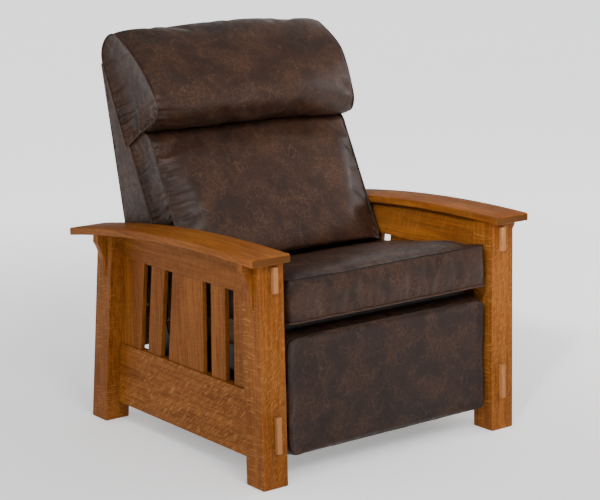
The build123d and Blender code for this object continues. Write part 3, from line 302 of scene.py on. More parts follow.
def tube(name, path, radius, closed=True, sides=8):
    """A round cord along a path."""
    path = np.asarray(path, float)
    ahead = np.roll(path, -1, 0) - np.roll(path, 1, 0)
    if not closed:
        ahead[0], ahead[-1] = path[1] - path[0], path[-1] - path[-2]
    ahead /= np.linalg.norm(ahead, axis=1)[:, None]
    side = np.cross(ahead[0], (0.31, 0.52, 0.79))
    turns = np.arange(sides) * 2 * pi / sides
    rings = []
    for spot, forward in zip(path, ahead):
        side = side - forward * side.dot(forward)
        side /= np.linalg.norm(side)
        other = np.cross(forward, side)
        rings.append([spot + radius * (cos(t) * side + sin(t) * other) for t in turns])
    count = len(rings)
    faces = []
    for i in range(count if closed else count - 1):
        j = (i + 1) % count
        turn = 0
        if closed and j == 0:
            gaps = [np.linalg.norm(rings[i][0] - rings[0][k]) for k in range(sides)]
            turn = int(np.argmin(gaps))
        for k in range(sides):
            m = (k + 1) % sides
            far = [j * sides + (n + turn) % sides for n in (m, k)]
            faces.append((i * sides + k, i * sides + m, *far))
    if not closed:
        faces.append(tuple(range(sides))[::-1])
        faces.append(tuple((count - 1) * sides + k for k in range(sides)))
    return make_piece(name, np.concatenate(rings), faces)


def coons(low, high, left, right):
    """A grid of points between four edges; low and high run left to right, left and right run low to high."""
    low, high, left, right = (np.asarray(edge, float) for edge in (low, high, left, right))
    u = np.linspace(0, 1, len(low))[:, None, None]
    v = np.linspace(0, 1, len(left))[None, :, None]
    ruled_v = low[:, None] * (1 - v) + high[:, None] * v
    ruled_u = left[None] * (1 - u) + right[None] * u
    corners = (low[0] * (1 - u) + low[-1] * u) * (1 - v) + (high[0] * (1 - u) + high[-1] * u) * v
    return ruled_u + ruled_v - corners


# Cushions


class Cushion:
    """A stuffed case under construction: its mesh, its seams and the places that hold still."""

    def __init__(self, name, body, slot, fill):
        self.name, self.body, self.slot, self.fill = name, body, slot, fill
        self.points, self.faces, self.held, self.seams = [], [], {}, []

    def add(self, point, held=0.0):
        """One more point, and how firmly it stays in place."""
        self.points.append(np.asarray(point, float))
        if held:
            self.held[len(self.points) - 1] = held
        return len(self.points) - 1

    def strip(self, first, second, closed):
        """Faces between two rows of points."""
        count = len(first)
        for i in range(count if closed else count - 1):
            j = (i + 1) % count
            self.faces.append((first[i], first[j], second[j], second[i]))

    def build(self):
        """Makes the mesh object, with its faces turned outward and its seams sharp."""
        self.piece = make_piece(self.name, self.points, self.faces)
        mesh = self.piece.data
        if sum(face.area * face.center.dot(face.normal) for face in mesh.polygons) < 0:
            mesh.flip_normals()
        mark_seams(mesh, self.seams)

    def refine(self):
        """Divides each face in four, keeping the seams sharp."""
        smooth = self.piece.modifiers.new("refine", "SUBSURF")
        smooth.levels = smooth.render_levels = 1
        graph = bpy.context.evaluated_depsgraph_get()
        mesh = bpy.data.meshes.new_from_object(self.piece.evaluated_get(graph))
        self.piece.modifiers.remove(smooth)
        self.piece.data = mesh
        mesh.name = self.name

    def seam_path(self, number):
        """A seam's line, twice as close as its points."""
        spots = points_of(self.piece.data)[self.seams[number]]
        halfway = (spots + np.roll(spots, -1, 0)) / 2
        return np.stack((spots, halfway), 1).reshape(-1, 3)

    def set_free(self):
        """Sets how free each point is to move: not at the seams nor where the case rests."""
        mesh, coarse = self.piece.data, len(self.points)
        free = np.ones(len(mesh.vertices))
        for index, weight in self.held.items():
            free[index] = 1 - weight
        total, count = np.zeros((2, len(free)))
        ends = np.array([edge.vertices[:] for edge in mesh.edges])
        for a, b in ((0, 1), (1, 0)):
            known = ends[:, b] < coarse
            np.add.at(total, ends[known, a], free[ends[known, b]])
            np.add.at(count, ends[known, a], 1)
        fresh = (np.arange(len(free)) >= coarse) & (count > 0)
        free[fresh] = total[fresh] / count[fresh]
        self.free = free


def mark_seams(mesh, rings):
    """Keeps the edges along each seam sharp."""
    wanted = {tuple(sorted(pair)) for ring in rings for pair in zip(ring, ring[1:] + ring[:1])}
    crease = mesh.attributes.new("crease_edge", "FLOAT", "EDGE")
    sharp = mesh.attributes.new("sharp_edge", "BOOLEAN", "EDGE")
    for edge in mesh.edges:
        if tuple(sorted(edge.vertices)) in wanted:
            crease.data[edge.index].value = 1.0
            sharp.data[edge.index].value = True


def rounded_plan(half_x, half_y, corner):
    """A grid over a rounded rectangle: its stations along X and along Y, and the place of each grid point."""
    xs = graded(2 * half_x) - half_x
    ys = graded(2 * half_y) - half_y
    grid = np.zeros((len(xs), len(ys), 2))
    for i, x in enumerate(xs):
        for j, y in enumerate(ys):
            over_x = max(0, abs(x) - (half_x - corner)) / corner
            over_y = max(0, abs(y) - (half_y - corner)) / corner
            px, py = x, y
            if over_x and over_y:
                px = np.sign(x) * (half_x - corner + corner * over_x * (1 - over_y**2 / 2) ** 0.5)
                py = np.sign(y) * (half_y - corner + corner * over_y * (1 - over_x**2 / 2) ** 0.5)
            grid[i, j] = px, py
    return xs, ys, grid


def ring_of(rows):
    """The edge of a grid of indices, once round."""
    rows = np.asarray(rows)
    return list(rows[:-1, 0]) + list(rows[-1, :-1]) + list(rows[:0:-1, -1]) + list(rows[0, :0:-1])


def boxed(cushion, half_x, half_y, corner, top, bottom, side_rows, side=None):
    """Top and bottom faces over a rounded plan, joined by a boxing strip of side_rows rows."""
    xs, ys, grid = rounded_plan(half_x, half_y, corner)
    upper, lower = np.zeros((2, len(xs), len(ys)), int)
    for i, x in enumerate(xs):
        for j, y in enumerate(ys):
            gaps = half_x - abs(x), half_y - abs(y)
            upper[i, j] = cushion.add(top(*grid[i, j], *gaps), 1.0 if min(gaps) < touching else 0.0)
            lower[i, j] = cushion.add(bottom(*grid[i, j]), 1.0)
    for i in range(len(xs) - 1):
        cushion.strip(upper[i], upper[i + 1], False)
        cushion.strip(lower[i + 1], lower[i], False)
    high, low = ring_of(upper), ring_of(lower)
    rows = [high]
    for row in range(1, side_rows):
        share = row / side_rows
        ring = []
        for a, b in zip(high, low):
            spot = cushion.points[a] * (1 - share) + cushion.points[b] * share
            ring.append(cushion.add(side(spot, share) if side else spot))
        rows.append(ring)
    rows.append(low)
    for first, second in zip(rows, rows[1:]):
        cushion.strip(second, first, True)
    cushion.seams = [high, low]


def seat_cushion():
    """Boxed seat cushion with a crowned top."""
    cushion = Cushion("seat_cushion_leather", "seat", "leather", 0.8)
    half_y = (seat_rear - seat_front) / 2
    middle = (seat_rear + seat_front) / 2

    def drawn(x, setback):
        along = (setback - middle) / half_y
        return x * (1 - side_draw * (1 - along**2) / seat_half)

    def top(x, y, from_side, from_end):
        setback = y + middle
        leaned = setback + seat_lean * (1 - (setback - seat_front) / (seat_rear - seat_front))
        base = seat_top_front - (setback - seat_front) * tilt
        run = min(1, max(0, (setback - seat_crest) / (seat_rear - seat_crest)))
        rise = crown_share(from_side, seat_side_reach)
        if y < 0:
            rise = rise * crown_share(from_end)
        height = rise * (seat_crown * (1 - run) + seat_sag * hump(run))
        return drawn(x, setback), behind(leaned), base + height

    def bottom(x, y):
        setback = y + middle
        return drawn(x, setback), behind(setback), seat_low_front - (setback - seat_front) * tilt

    def side(spot, share):
        near = 0.02
        outward = np.array((np.sign(spot[0]) * (abs(spot[0]) > seat_half - near), 0, 0))
        if spot[1] < behind(seat_front + near):
            outward = np.array((0, -1, 0))
        return spot + outward * seat_bulge * hump(share)

    boxed(cushion, seat_half, half_y, seat_corner, top, bottom, seat_side_rows, side)
    return cushion


def ringed(name, fill, half, section, corners):
    """A case on the back, skinned over rings across the chair and closed by a panel at each end.

    The corners are the points of a section where its front, top, rear and base begin.
    """
    cushion = Cushion(name, "back", "leather", fill)
    rings = []
    for x in graded(2 * half) - half:
        ring = section(float(crown_share(half - abs(x))))
        end = half - abs(x) < touching
        rings.append([cushion.add((x, y, z), 1.0 if end else weight) for y, z, weight in ring])
    for first, second in zip(rings, rings[1:]):
        cushion.strip(first, second, True)
    a, b, c, d = corners
    for ring, sign in ((rings[0], -1), (rings[-1], 1)):
        low = ring[a : b + 1]
        right = ring[b : c + 1]
        high = ring[c : d + 1][::-1]
        left = (ring[d:] + [ring[a]])[::-1]
        edges = [[cushion.points[i] for i in edge] for edge in (low, high, left, right)]
        grid = coons(*edges)
        index = np.zeros(grid.shape[:2], int)
        index[:, 0], index[:, -1], index[0], index[-1] = low, high, left, right
        end_u, end_v = len(grid) - 1, len(grid[0]) - 1
        for i in range(1, end_u):
            for j in range(1, end_v):
                u, v = i / end_u, j / end_v
                dish = side_draw * min(1, 1.5 * hump(u)) * min(1, 1.5 * hump(v))
                index[i, j] = cushion.add(grid[i, j] - (sign * dish, 0, 0))
        for i in range(end_u):
            cushion.strip(*index[i : i + 2][::sign], False)
    cushion.seams = [rings[0], rings[-1]]
    return cushion


def seam(height):
    """Y of the seam line between the cushions and the back."""
    return behind(seam_setback) + (height - seam_height) * lean


def seat_surface(setback, rise):
    """Height of the seat cushion's top at a setback."""
    base = seat_top_front - (setback - seat_front - seat_lean) * tilt
    run = (setback - seat_crest) / (seat_rear - seat_crest)
    return base + rise * (seat_crown * (1 - run) + seat_sag * hump(run))


def lumbar_section(rise):
    """Places and hold weights round the lumbar cushion, from its front foot."""
    thickness = lumbar_depth / lean_cos
    corner = behind(seat_front + seat_lean)
    foot = corner + (seam(lumbar_front_low) - thickness - corner) / (1 + lean * tilt)
    toe_y = foot - lumbar_toe * rise
    toe = (toe_y, seat_surface(toe_y - front, rise) + seat_clearance)
    heel_z = seat_surface(seat_rear, rise) + seat_clearance
    shoulder = (seam(lumbar_shoulder) - thickness - lumbar_crown * rise, lumbar_shoulder)
    belly_y, belly_z = lerp(toe, shoulder, 0.5)
    belly = (belly_y - lumbar_crown * rise - least_bow, belly_z)
    ridge = (behind(lumbar_ridge[0]), lumbar_ridge[1])
    roll_y, roll_z = lerp(shoulder, ridge, 0.5)
    roll = (roll_y - lumbar_roll, roll_z + lumbar_roll)
    fold = (seam(lumbar_fold), lumbar_fold)
    heel = (seam(heel_z), heel_z)
    runs = [
        (arc(toe, belly, shoulder, 32), 0),
        (arc(shoulder, roll, ridge, 7), 0.3),
        (straight(ridge, fold, 9), 1),
        (straight(fold, heel, 39), 1),
        (straight(heel, toe, 9), 1),
    ]
    return [(y, z, held) for places, held in runs for y, z in places]


def pillow_section(rise):
    """Places and hold weights round the headrest pillow, from its crease with the lumbar cushion."""
    swell = pillow_swell * rise
    nose_low, nose, nose_top, face, top, back_spot = (
        (behind(setback) - forward * swell, height + up * swell)
        for setback, height, forward, up in pillow_places.values()
    )
    fold = (seam(pillow_fold), pillow_fold)
    ridge = (behind(pillow_ridge[0]), pillow_ridge[1])
    chin_y, chin_z = lerp(ridge, nose_low, 0.5)
    chin = (chin_y - least_bow, chin_z - least_bow - swell * chin_share)
    rear_top = (behind(pillow_rear_top[0]), pillow_rear_top[1])
    rear_low = (seam(pillow_rear_low), pillow_rear_low)
    runs = [
        (arc(ridge, chin, nose_low, 9), 0),
        (arc(nose_low, nose, nose_top, 7), 0),
        (arc(nose_top, face, top, 26), 0),
        (arc(top, back_spot, rear_top, 10), 0),
        (straight(rear_top, rear_low, 3), 0.5),
        (straight(rear_low, fold, 42), 1),
        (straight(fold, ridge, 13), 1),
    ]
    return [(y, z, held) for places, held in runs for y, z in places]


def settle(cushions):
    """Inflates the cases as cloth, with their seams held, and keeps each point near its place."""
    scene = bpy.context.scene
    for cushion, pressure, stretch in cushions:
        piece = cushion.piece
        group = piece.vertex_groups.new(name="held")
        for index, weight in cushion.held.items():
            group.add([int(index)], weight, "REPLACE")
        cloth = piece.modifiers.new("settle", "CLOTH")
        for key, value in cloth_settings.items():
            setattr(cloth.settings, key, value)
        cloth.settings.uniform_pressure_force = pressure
        cloth.settings.shrink_min = -stretch
        cloth.settings.effector_weights.gravity = 0
        cloth.collision_settings.use_collision = False
        cloth.point_cache.frame_start = 1
        cloth.point_cache.frame_end = settle_frames
    for number in range(1, settle_frames + 1):
        scene.frame_set(number)
    graph = bpy.context.evaluated_depsgraph_get()
    settled = [points_of(cushion.piece.evaluated_get(graph).data) for cushion, *_ in cushions]
    for (cushion, *_), moved in zip(cushions, settled):
        piece = cushion.piece
        piece.modifiers.remove(piece.modifiers["settle"])
        rest = points_of(piece.data)
        move = moved - rest
        length = np.linalg.norm(move, axis=1)[:, None] + 1e-9
        set_points(piece.data, rest + move / length * settle_cap * np.tanh(length / settle_cap))
    scene.frame_set(1)


def gather(cushion, number, seed, strength, length, reach, least=1.0, more=0.0, heights=(0, 0, 1)):
    """Small folds that run in from a seam, at their least strength and more between two heights."""
    mesh = cushion.piece.data
    points = points_of(mesh)
    path = cushion.seam_path(number)
    steps = np.linalg.norm(np.roll(path, -1, 0) - path, axis=1)
    along = np.concatenate(([0], np.cumsum(steps)[:-1]))
    nearest, distance = nearest_on(points, path)
    # Two waves that bend, spread and fall out of step, so that no two folds are alike
    bend = 0.25 * length * field(points, 0.05, seed + 3)
    run = along[nearest] + bend * np.minimum(1, distance / 0.03)
    waves = np.sin(2 * pi * run / length + 2.5 * np.sin(run / length * 0.9 + seed))
    waves += 0.55 * np.sin(2 * pi * run / (length * 0.61) + seed * 2.1 + 2 * np.sin(run / length * 0.43))
    spread = reach * (1 + 0.7 * field(points, 0.08, seed + 9))
    fade = np.exp(-distance / np.maximum(spread, 0.004)) * (1 - np.exp(-distance / 0.005))
    amount = strength * waves * fade * cushion.free * (least + more * within(points[:, 2], *heights))
    set_points(mesh, points + normals_of(mesh) * amount[:, None])


def nearest_on(points, spots):
    """For each point, the nearest of some spots and its distance."""
    nearest, distance = [], []
    for part in np.array_split(points, len(points) // 2000 + 1):
        gaps = np.linalg.norm(part[:, None] - spots[None], axis=2)
        nearest.append(gaps.argmin(1))
        distance.append(gaps.min(1))
    return np.concatenate(nearest), np.concatenate(distance)


def dimple(cushion, seed, strength, size):
    """Soft dents and swells over a whole case, none at its held points."""
    mesh = cushion.piece.data
    points = points_of(mesh)
    shift = strength * field(points, size, seed) * cushion.free
    set_points(mesh, points + normals_of(mesh) * shift[:, None])


def pinch_seams(cushion, depth=0.0016, reach=0.005, on_seam=0.0008):
    """Draws the leather in beside each seam, and leaves what lies on it."""
    mesh = cushion.piece.data
    points = points_of(mesh)
    shift = np.zeros(len(points))
    for number in range(len(cushion.seams)):
        distance = nearest_on(points, cushion.seam_path(number))[1]
        shift += -depth * np.exp(-distance / reach) * (distance > on_seam)
    set_points(mesh, points + normals_of(mesh) * shift[:, None])


def welt(cushion, number, radius, outset):
    """A thin piped cord along a seam."""
    path = cushion.seam_path(number)
    outward = path - path.mean(0)
    outward += (path.mean(0) - points_of(cushion.piece.data).mean(0)) * 0.7
    outward /= np.linalg.norm(outward, axis=1)[:, None]
    return tube(f"{cushion.name}_welt_{number + 1}", path + outward * radius * outset, radius)


def sway(cushion, seed, amount, size, low, soft):
    """Slow rises and falls along a case above a height, its seams included."""
    mesh = cushion.piece.data
    points = points_of(mesh)
    share = np.clip((points[:, 2] - low) / soft, 0, 1)
    points[:, 2] += amount * share * field(points * (1, 0.3, 0.3), size, seed, 1)
    set_points(mesh, points)


def droop(cushion):
    """The pillow's right end, whose nose hangs lower and further back, and whose top corner is fuller."""
    mesh = cushion.piece.data
    points = points_of(mesh)
    end = eased((points[:, 0] - droop_from) / (pillow_half - droop_from))
    gap = (points[:, 1] - behind(pillow_nose[0])) ** 2 + (points[:, 2] - pillow_nose[1]) ** 2
    nose = np.exp(-gap / droop_reach**2)
    crest = within(points[:, 2], *pillow_crest)
    set_points(mesh, points + np.outer(end * nose, nose_droop) + np.outer(end * crest, crest_droop))


# Covered panels


def covered_panel(name, body, slot, fill, half_x, low, high, setback, depth, corner, edge, swell):
    """An upright padded panel across the chair, with a rounded front edge and a low crown."""
    cushion = Cushion(name, body, slot, fill)
    half_z = (high - low) / 2
    middle = (high + low) / 2

    def face(x, z, from_side, from_end):
        lip = max(0, 1 - min(from_side, from_end) / edge)
        rise = crown_share(from_side) * crown_share(from_end)
        inset = edge * lip_inset * lip**2
        y = behind(setback) + edge * lip_drop * lip**2 + swell * (1 - rise)
        return x * (1 - inset / half_x), y, middle + z * (1 - inset / half_z)

    def back(x, z):
        return x, behind(setback + depth), middle + z

    side_rows = max(3, round(depth / mesh_step))
    boxed(cushion, half_x, half_z, corner, face, back, side_rows)
    cushion.seams = []
    return cushion


def back_rear(height):
    """Y of the back's rear face at a height."""
    return behind(rear_setback) + (height - rear_height) * rear_lean


def cover_ring(share):
    """One row of the shell, at a share of its height, from its left front edge round to its right one."""
    low, knee_low, rear_low = cover_hem
    high, rear_high = cover_crest
    front_spot = lerp(low, high, share)
    rear_spot = lerp(rear_low, rear_high, share)
    knee = lerp(knee_low, lerp(high, rear_high, cover_knee_share), share)
    left = []
    for step in range(cover_along):
        along = step / cover_along
        if along < cover_knee_share:
            place_on = lerp(front_spot, knee, along / cover_knee_share)
        else:
            run = (along - cover_knee_share) / (1 - cover_knee_share)
            place_on = lerp(knee, rear_spot, run * cover_corner_share)
        left.append((-back_half, *place_on))
    y, z = rear_spot
    for step in range(cover_turns + 1):
        turn = pi / 2 * step / cover_turns
        left.append((-back_half + cover_corner * (1 - cos(turn)), y - cover_corner * (1 - sin(turn)), z))
    x_end = -back_half + cover_corner
    across = [(x_end * (1 - 2 * i / cover_across), y, z) for i in range(1, cover_across)]
    return left + across + [(-x, y, z) for x, y, z in reversed(left)]


def cover_top(points, last):
    """Rows of points across the shell's top, between its two sides; adds the new points."""
    side_count = cover_along + cover_turns + 1
    rungs = []
    for step in range(side_count - 1):
        a, b = last[step], last[-1 - step]
        inner = range(len(points), len(points) + cover_across - 1)
        points += [lerp(points[a], points[b], i / cover_across) for i in range(1, cover_across)]
        rungs.append([a, *inner, b])
    rungs.append(last[side_count - 1 : 1 - side_count])
    return rungs


def soften_cover(mesh):
    """Turns the shell's faces outward, swells its rear, dents it all over and draws up its hem."""
    points, normals = points_of(mesh), normals_of(mesh)
    mesh.flip_normals()
    inside = (0, 0.25, 0.6)
    outward = np.where((normals * (points - inside)).sum(1) > 0, 1, -1)[:, None] * normals
    x, z = points[:, 0], points[:, 2]
    rear = within(np.abs(x), 0, back_half - 0.04, 0.03) * (normals[:, 1] ** 2 > 0.5)
    height = np.clip((z - cover_rear_low) / (back_top - cover_rear_low), 0, 1)
    puff = cover_puff * rear * hump(height) + cover_dent * field(points, 0.07, 23)
    folds = np.sin(x / 0.0066 + 3 * np.sin(x / 0.05))
    drawn = cover_hem_fold * folds * within(z, cover_rear_low, cover_rear_low + 0.02, 0.05)
    set_points(mesh, points + outward * (puff + drawn * rear)[:, None])


def back_cover():
    """Leather over the back's sides, rear and top: one shell, and a cord along each of its edges."""
    points, faces, rings = [], [], []
    for row in range(cover_rows + 1):
        ring = cover_ring(row / cover_rows)
        rings.append(range(len(points), len(points) + len(ring)))
        points += ring
    for first, second in zip(rings, rings[1:]):
        for i in range(len(first) - 1):
            faces.append((first[i], first[i + 1], second[i + 1], second[i]))
    rungs = cover_top(points, rings[-1])
    for first, second in zip(rungs, rungs[1:]):
        for i in range(cover_across):
            faces.append((first[i], second[i], second[i + 1], first[i + 1]))
    piece = make_piece("back_cover_leather", points, faces)
    soften_cover(piece.data)
    shell = piece.modifiers.new("thickness", "SOLIDIFY")
    shell.thickness = cover_thickness
    shell.offset = -1
    cords = []
    stations = np.linspace(0, 1, cord_places)
    # Each edge's name, its low and high ends, and how far its cord stands in from the side and from the rear
    edges = (
        ("side", cover_hem[0], cover_crest[0], cover_cord_inset, 0),
        ("rear", cover_hem[2], cover_crest[1], cover_cord, cover_cord),
    )
    for sign, hand in ((-1, "left"), (1, "right")):
        for edge, low, high, inset, forward in edges:
            spots = [lerp(low, high, share) for share in stations]
            path = [(sign * (back_half - inset), y - forward, z) for y, z in spots]
            cords.append(tube(f"back_{edge}_welt_{hand}", path, cover_cord, False))
    return piece, cords


# The shell's corners in side view: along its hem and along its top, from its front edge to its rear
cover_hem = (
    (seam(cover_side_low) + cover_seam_gap, cover_side_low),
    (behind(cover_knee), cover_side_low),
    (back_rear(cover_rear_low), cover_rear_low),
)
cover_crest = ((seam(back_top) + cover_seam_gap, back_top), (back_rear(back_top), back_top))


# Materials


def toned(colors, tone):
    """A table of colours, all made darker or lighter."""
    return {key: tuple(tone * c for c in color) for key, color in colors.items()}


class Paint:
    """A material under construction."""

    def __init__(self, name):
        self.material = bpy.data.materials.new(name)
        self.material.use_nodes = True
        self.tree = self.material.node_tree
        self.shader = self.tree.nodes["Principled BSDF"]
        self.place = self.add("TexCoord").outputs["Object"]

    def add(self, kind, inputs=None, **settings):
        """One more node, with its settings and its inputs by name or number."""
        node = self.tree.nodes.new("ShaderNode" + kind)
        for key, value in settings.items():
            setattr(node, key, value)
        for key, value in (inputs or {}).items():
            self.put(node.inputs[key], value)
        return node

    def put(self, socket, value):
        """Links a socket to another or sets it."""
        if isinstance(value, bpy.types.NodeSocket):
            self.tree.links.new(value, socket)
        else:
            socket.default_value = value

    def stretched(self, scale, turn=(0, 0, 0)):
        """The object's coordinates, scaled along each axis and turned."""
        return self.add("Mapping", {"Vector": self.place, "Scale": scale, "Rotation": turn}).outputs[0]

    def along(self, axis, grain, across):
        """The object's coordinates, with one scale along an axis and another across it."""
        return self.stretched(tuple(grain if name == axis else across for name in "xyz"))

    def warped(self, place, scale, amount):
        """Coordinates pushed about by noise."""
        push = self.add("TexNoise", {"Vector": place, "Scale": scale, "Detail": 3.0}).outputs["Color"]
        push = self.add("VectorMath", {0: push, 1: (0.5, 0.5, 0.5)}, operation="SUBTRACT").outputs[0]
        push = self.add("VectorMath", {0: push, "Scale": amount}, operation="SCALE").outputs[0]
        return self.add("VectorMath", {0: place, 1: push}, operation="ADD").outputs[0]

    def end_grain(self, axis):
        """1 on faces square to an axis, 0 on all others."""
        normal = self.add("NewGeometry").outputs["Normal"]
        along = self.add("SeparateXYZ", {0: normal}).outputs[axis.upper()]
        return self.ramp(self.math("ABSOLUTE", along, 0.0), 0.88, 0.96)

    def noise(self, place, scale, detail=3, rough=0.55, twist=0.0):
        """Smooth noise from 0 to 1."""
        sockets = {"Vector": place, "Scale": scale, "Detail": detail, "Roughness": rough, "Distortion": twist}
        return self.add("TexNoise", sockets).outputs["Fac"]

    def ramp(self, value, low, high, to_low=0.0, to_high=1.0):
        """A value moved smoothly from one range to another."""
        sockets = {"Value": value, 1: low, 2: high, 3: to_low, 4: to_high}
        return self.add("MapRange", sockets, interpolation_type="SMOOTHSTEP").outputs[0]

    def math(self, operation, a, b):
        """Two values put together."""
        return self.add("Math", {0: a, 1: b}, operation=operation).outputs[0]

    def mix(self, share, a, b):
        """Two colours put together."""
        node = self.add("Mix", {0: share}, data_type="RGBA")
        for socket, value in ((node.inputs[6], a), (node.inputs[7], b)):
            self.put(socket, (*value, 1) if isinstance(value, tuple) else value)
        return node.outputs[2]

    def finish(self, color, roughness, bumps=(), **constants):
        """Joins colour, roughness and bumps, each a height, a strength and a distance, to the shader."""
        self.put(self.shader.inputs["Base Color"], color)
        self.put(self.shader.inputs["Roughness"], roughness)
        normal = None
        for height, strength, distance in bumps:
            sockets = {"Height": height, "Strength": strength, "Distance": distance}
            if normal is not None:
                sockets["Normal"] = normal
            normal = self.add("Bump", sockets).outputs[0]
        if normal is not None:
            self.put(self.shader.inputs["Normal"], normal)
        for name, value in constants.items():
            self.put(self.shader.inputs[name.replace("_", " ")], value)
        return self.material


def oak(name, axis, rays=0.5, tone=1.0, end_tone=0.6, ray_turn=0.0, ray_slant=0.0, tenoned=False):
    """Quarter-sawn oak with its grain along an axis and flecks, the rays, turned about X and Y by degrees."""
    paint = Paint(name)
    colors = toned(oak_colors, tone)
    bands = paint.noise(paint.along(axis, 1.1, 13), 1.0, 4, 0.6, 0.6)
    streaks = paint.noise(paint.along(axis, 6, 150), 1.0, 6, 0.65, 0.35)
    pores = paint.noise(paint.along(axis, 45, 620), 1.0, 3, 0.55)
    clouds = paint.noise(paint.stretched((5, 5, 5)), 1.0, 3, 0.5)
    base = paint.mix(paint.ramp(bands, 0.3, 0.72), colors["dark band"], colors["pale band"])
    base = paint.mix(paint.ramp(streaks, 0.36, 0.66, 0.0, 0.8), base, colors["streak"])
    base = paint.mix(paint.ramp(clouds, 0.35, 0.7, 0.0, 0.35), base, colors["cloud"])
    level = paint.stretched((1, 1, 1), (radians(ray_turn), radians(ray_slant), 0))
    wavy = paint.warped(level, 16, 0.016)
    slant = paint.add("Mapping", {"Vector": wavy, "Scale": (60, 27, 480)}).outputs[0]
    flecks = paint.ramp(paint.noise(slant, 1.0, 2, 0.5, 0.3), 0.555, 0.615, 0.0, rays)
    flecks = paint.math("MULTIPLY", flecks, paint.ramp(clouds, 0.34, 0.50, 0.35, 1.0))
    base = paint.mix(flecks, base, colors["fleck"])
    base = paint.mix(paint.ramp(pores, 0.56, 0.68, 0.0, 0.6), base, colors["pore"])
    end = paint.mix(paint.ramp(clouds, 0.35, 0.7), *end_grain_colors)
    end = paint.mix(1 - end_tone, end, (0.0, 0.0, 0.0))
    base = paint.mix(paint.end_grain(axis), base, end)
    # Proud tenons are made paler and pinker: partly their own end grain tone, partly a painted highlight for
    # their lit cheeks
    if tenoned:
        depth = paint.add("SeparateXYZ", {0: paint.place}).outputs["Y"]
        base = paint.mix(paint.ramp(depth, front - 0.0015, front - 0.0005, 0.55, 0.0), base, tenon_tone_and_highlight)
    rough = paint.ramp(streaks, 0.3, 0.7, 0.38, 0.54)
    bumps = [(streaks, 0.12, 0.001), (pores, 0.12, 0.0006)]
    return paint.finish(base, rough, bumps, Specular_IOR_Level=0.05)


def leather(name, tone=1.0, crackled=0.50):
    """Waxed dark brown leather with a net of tan crackle and reddish mottling."""
    paint = Paint(name)
    even = paint.place
    colors = toned(leather_colors, tone)
    mottle = paint.noise(even, 13, 4, 0.62, 0.6)
    cool = paint.noise(even, 7, 3, 0.55, 0.4)
    wear = paint.noise(even, 26, 4, 0.6, 0.5)

    def net(scale, width, warp, amount, stretch):
        """Lines between irregular cells, drawn out along the height."""
        place_in = paint.warped(paint.stretched(stretch), warp, amount)
        sockets = {"Vector": place_in, "Scale": scale}
        gap = paint.add("TexVoronoi", sockets, feature="DISTANCE_TO_EDGE").outputs[0]
        return paint.ramp(gap, 0.0, width, 1.0, 0.0)

    coarse = net(42.0, 0.046, 30, 0.044, (1, 1, 0.7))
    coarse = paint.math("MULTIPLY", coarse, paint.ramp(wear, 0.36, 0.62))
    fine = net(74.0, 0.080, 55, 0.026, (1, 1, 0.8))
    fine = paint.math("MULTIPLY", fine, paint.ramp(mottle, 0.36, 0.62, 0.0, 0.8))
    specks = paint.ramp(paint.noise(even, 150, 4, 0.7, 0.6), 0.58, 0.74, 0.0, 0.4)
    crackle = paint.math("MAXIMUM", coarse, paint.math("MAXIMUM", fine, specks))
    grain = paint.add("TexVoronoi", {"Vector": even, "Scale": 620.0}, feature="F1").outputs[0]
    wide = paint.noise(even, 60, 3, 0.6)
    base = paint.mix(paint.ramp(mottle, 0.34, 0.66), colors["dark"], colors["red"])
    base = paint.mix(paint.ramp(cool, 0.50, 0.72, 0.0, 0.5), base, colors["cool"])
    base = paint.mix(paint.ramp(crackle, 0.0, 1.0, 0.0, crackled), base, colors["crackle"])
    rough = paint.ramp(wide, 0.3, 0.7, 0.36, 0.50)
    bumps = [(crackle, 0.10, 0.0006), (wide, 0.15, 0.0015), (grain, 0.20, 0.0004)]
    return paint.finish(base, rough, bumps, Specular_IOR_Level=0.17)


def plain_wood(name, axis, pale, dark):
    """Plain sawn wood with faint grain along an axis."""
    paint = Paint(name)
    grain = paint.noise(paint.along(axis, 4, 90), 1.0, 5, 0.6, 0.4)
    broad = paint.noise(paint.stretched((7, 7, 7)), 1.0, 3)
    base = paint.mix(paint.ramp(grain, 0.35, 0.68), pale, dark)
    base = paint.mix(paint.ramp(broad, 0.35, 0.7, 0.0, 0.4), base, dark)
    return paint.finish(base, paint.ramp(grain, 0.3, 0.7, 0.55, 0.72), [(grain, 0.2, 0.0008)])


def steel(name, color, low, high, metallic):
    """Steel with faint mottling and wear."""
    paint = Paint(name)
    wear = paint.noise(paint.place, 38, 5, 0.65, 0.4)
    fine = paint.noise(paint.place, 420, 2, 0.6)
    lighter = tuple(min(1, c * 1.7 + 0.01) for c in color)
    base = paint.mix(paint.ramp(wear, 0.4, 0.75), color, lighter)
    rough = paint.ramp(wear, 0.3, 0.7, low, high)
    return paint.finish(base, rough, [(fine, 0.08, 0.0004)], Metallic=metallic)


def cloth(name, color):
    """Close woven cloth."""
    paint = Paint(name)
    weave = paint.noise(paint.stretched((900, 900, 900)), 1.0, 2)
    broad = paint.noise(paint.stretched((14, 14, 14)), 1.0, 3)
    lighter = tuple(c * 1.8 for c in color)
    base = paint.mix(paint.ramp(weave, 0.35, 0.65, 0.0, 0.8), color, lighter)
    base = paint.mix(paint.ramp(broad, 0.4, 0.7, 0.0, 0.4), base, color)
    rough = paint.ramp(weave, 0.3, 0.7, 0.8, 0.95)
    return paint.finish(base, rough, [(weave, 0.3, 0.0006)], Specular_IOR_Level=0.1)


def dress(node, material, ease=0.0):
    """Gives a CAD node its material, and softer edges where wanted."""
    piece = frame["nodes"][node]
    piece.data.materials.clear()
    piece.data.materials.append(material)
    if ease:
        weld = piece.modifiers.new("weld", "WELD")
        weld.merge_threshold = 0.00005
        bevel = piece.modifiers.new("ease", "BEVEL")
        bevel.width = ease
        bevel.segments = 2
        bevel.limit_method = "ANGLE"
        bevel.angle_limit = radians(32)
        bevel.harden_normals = True


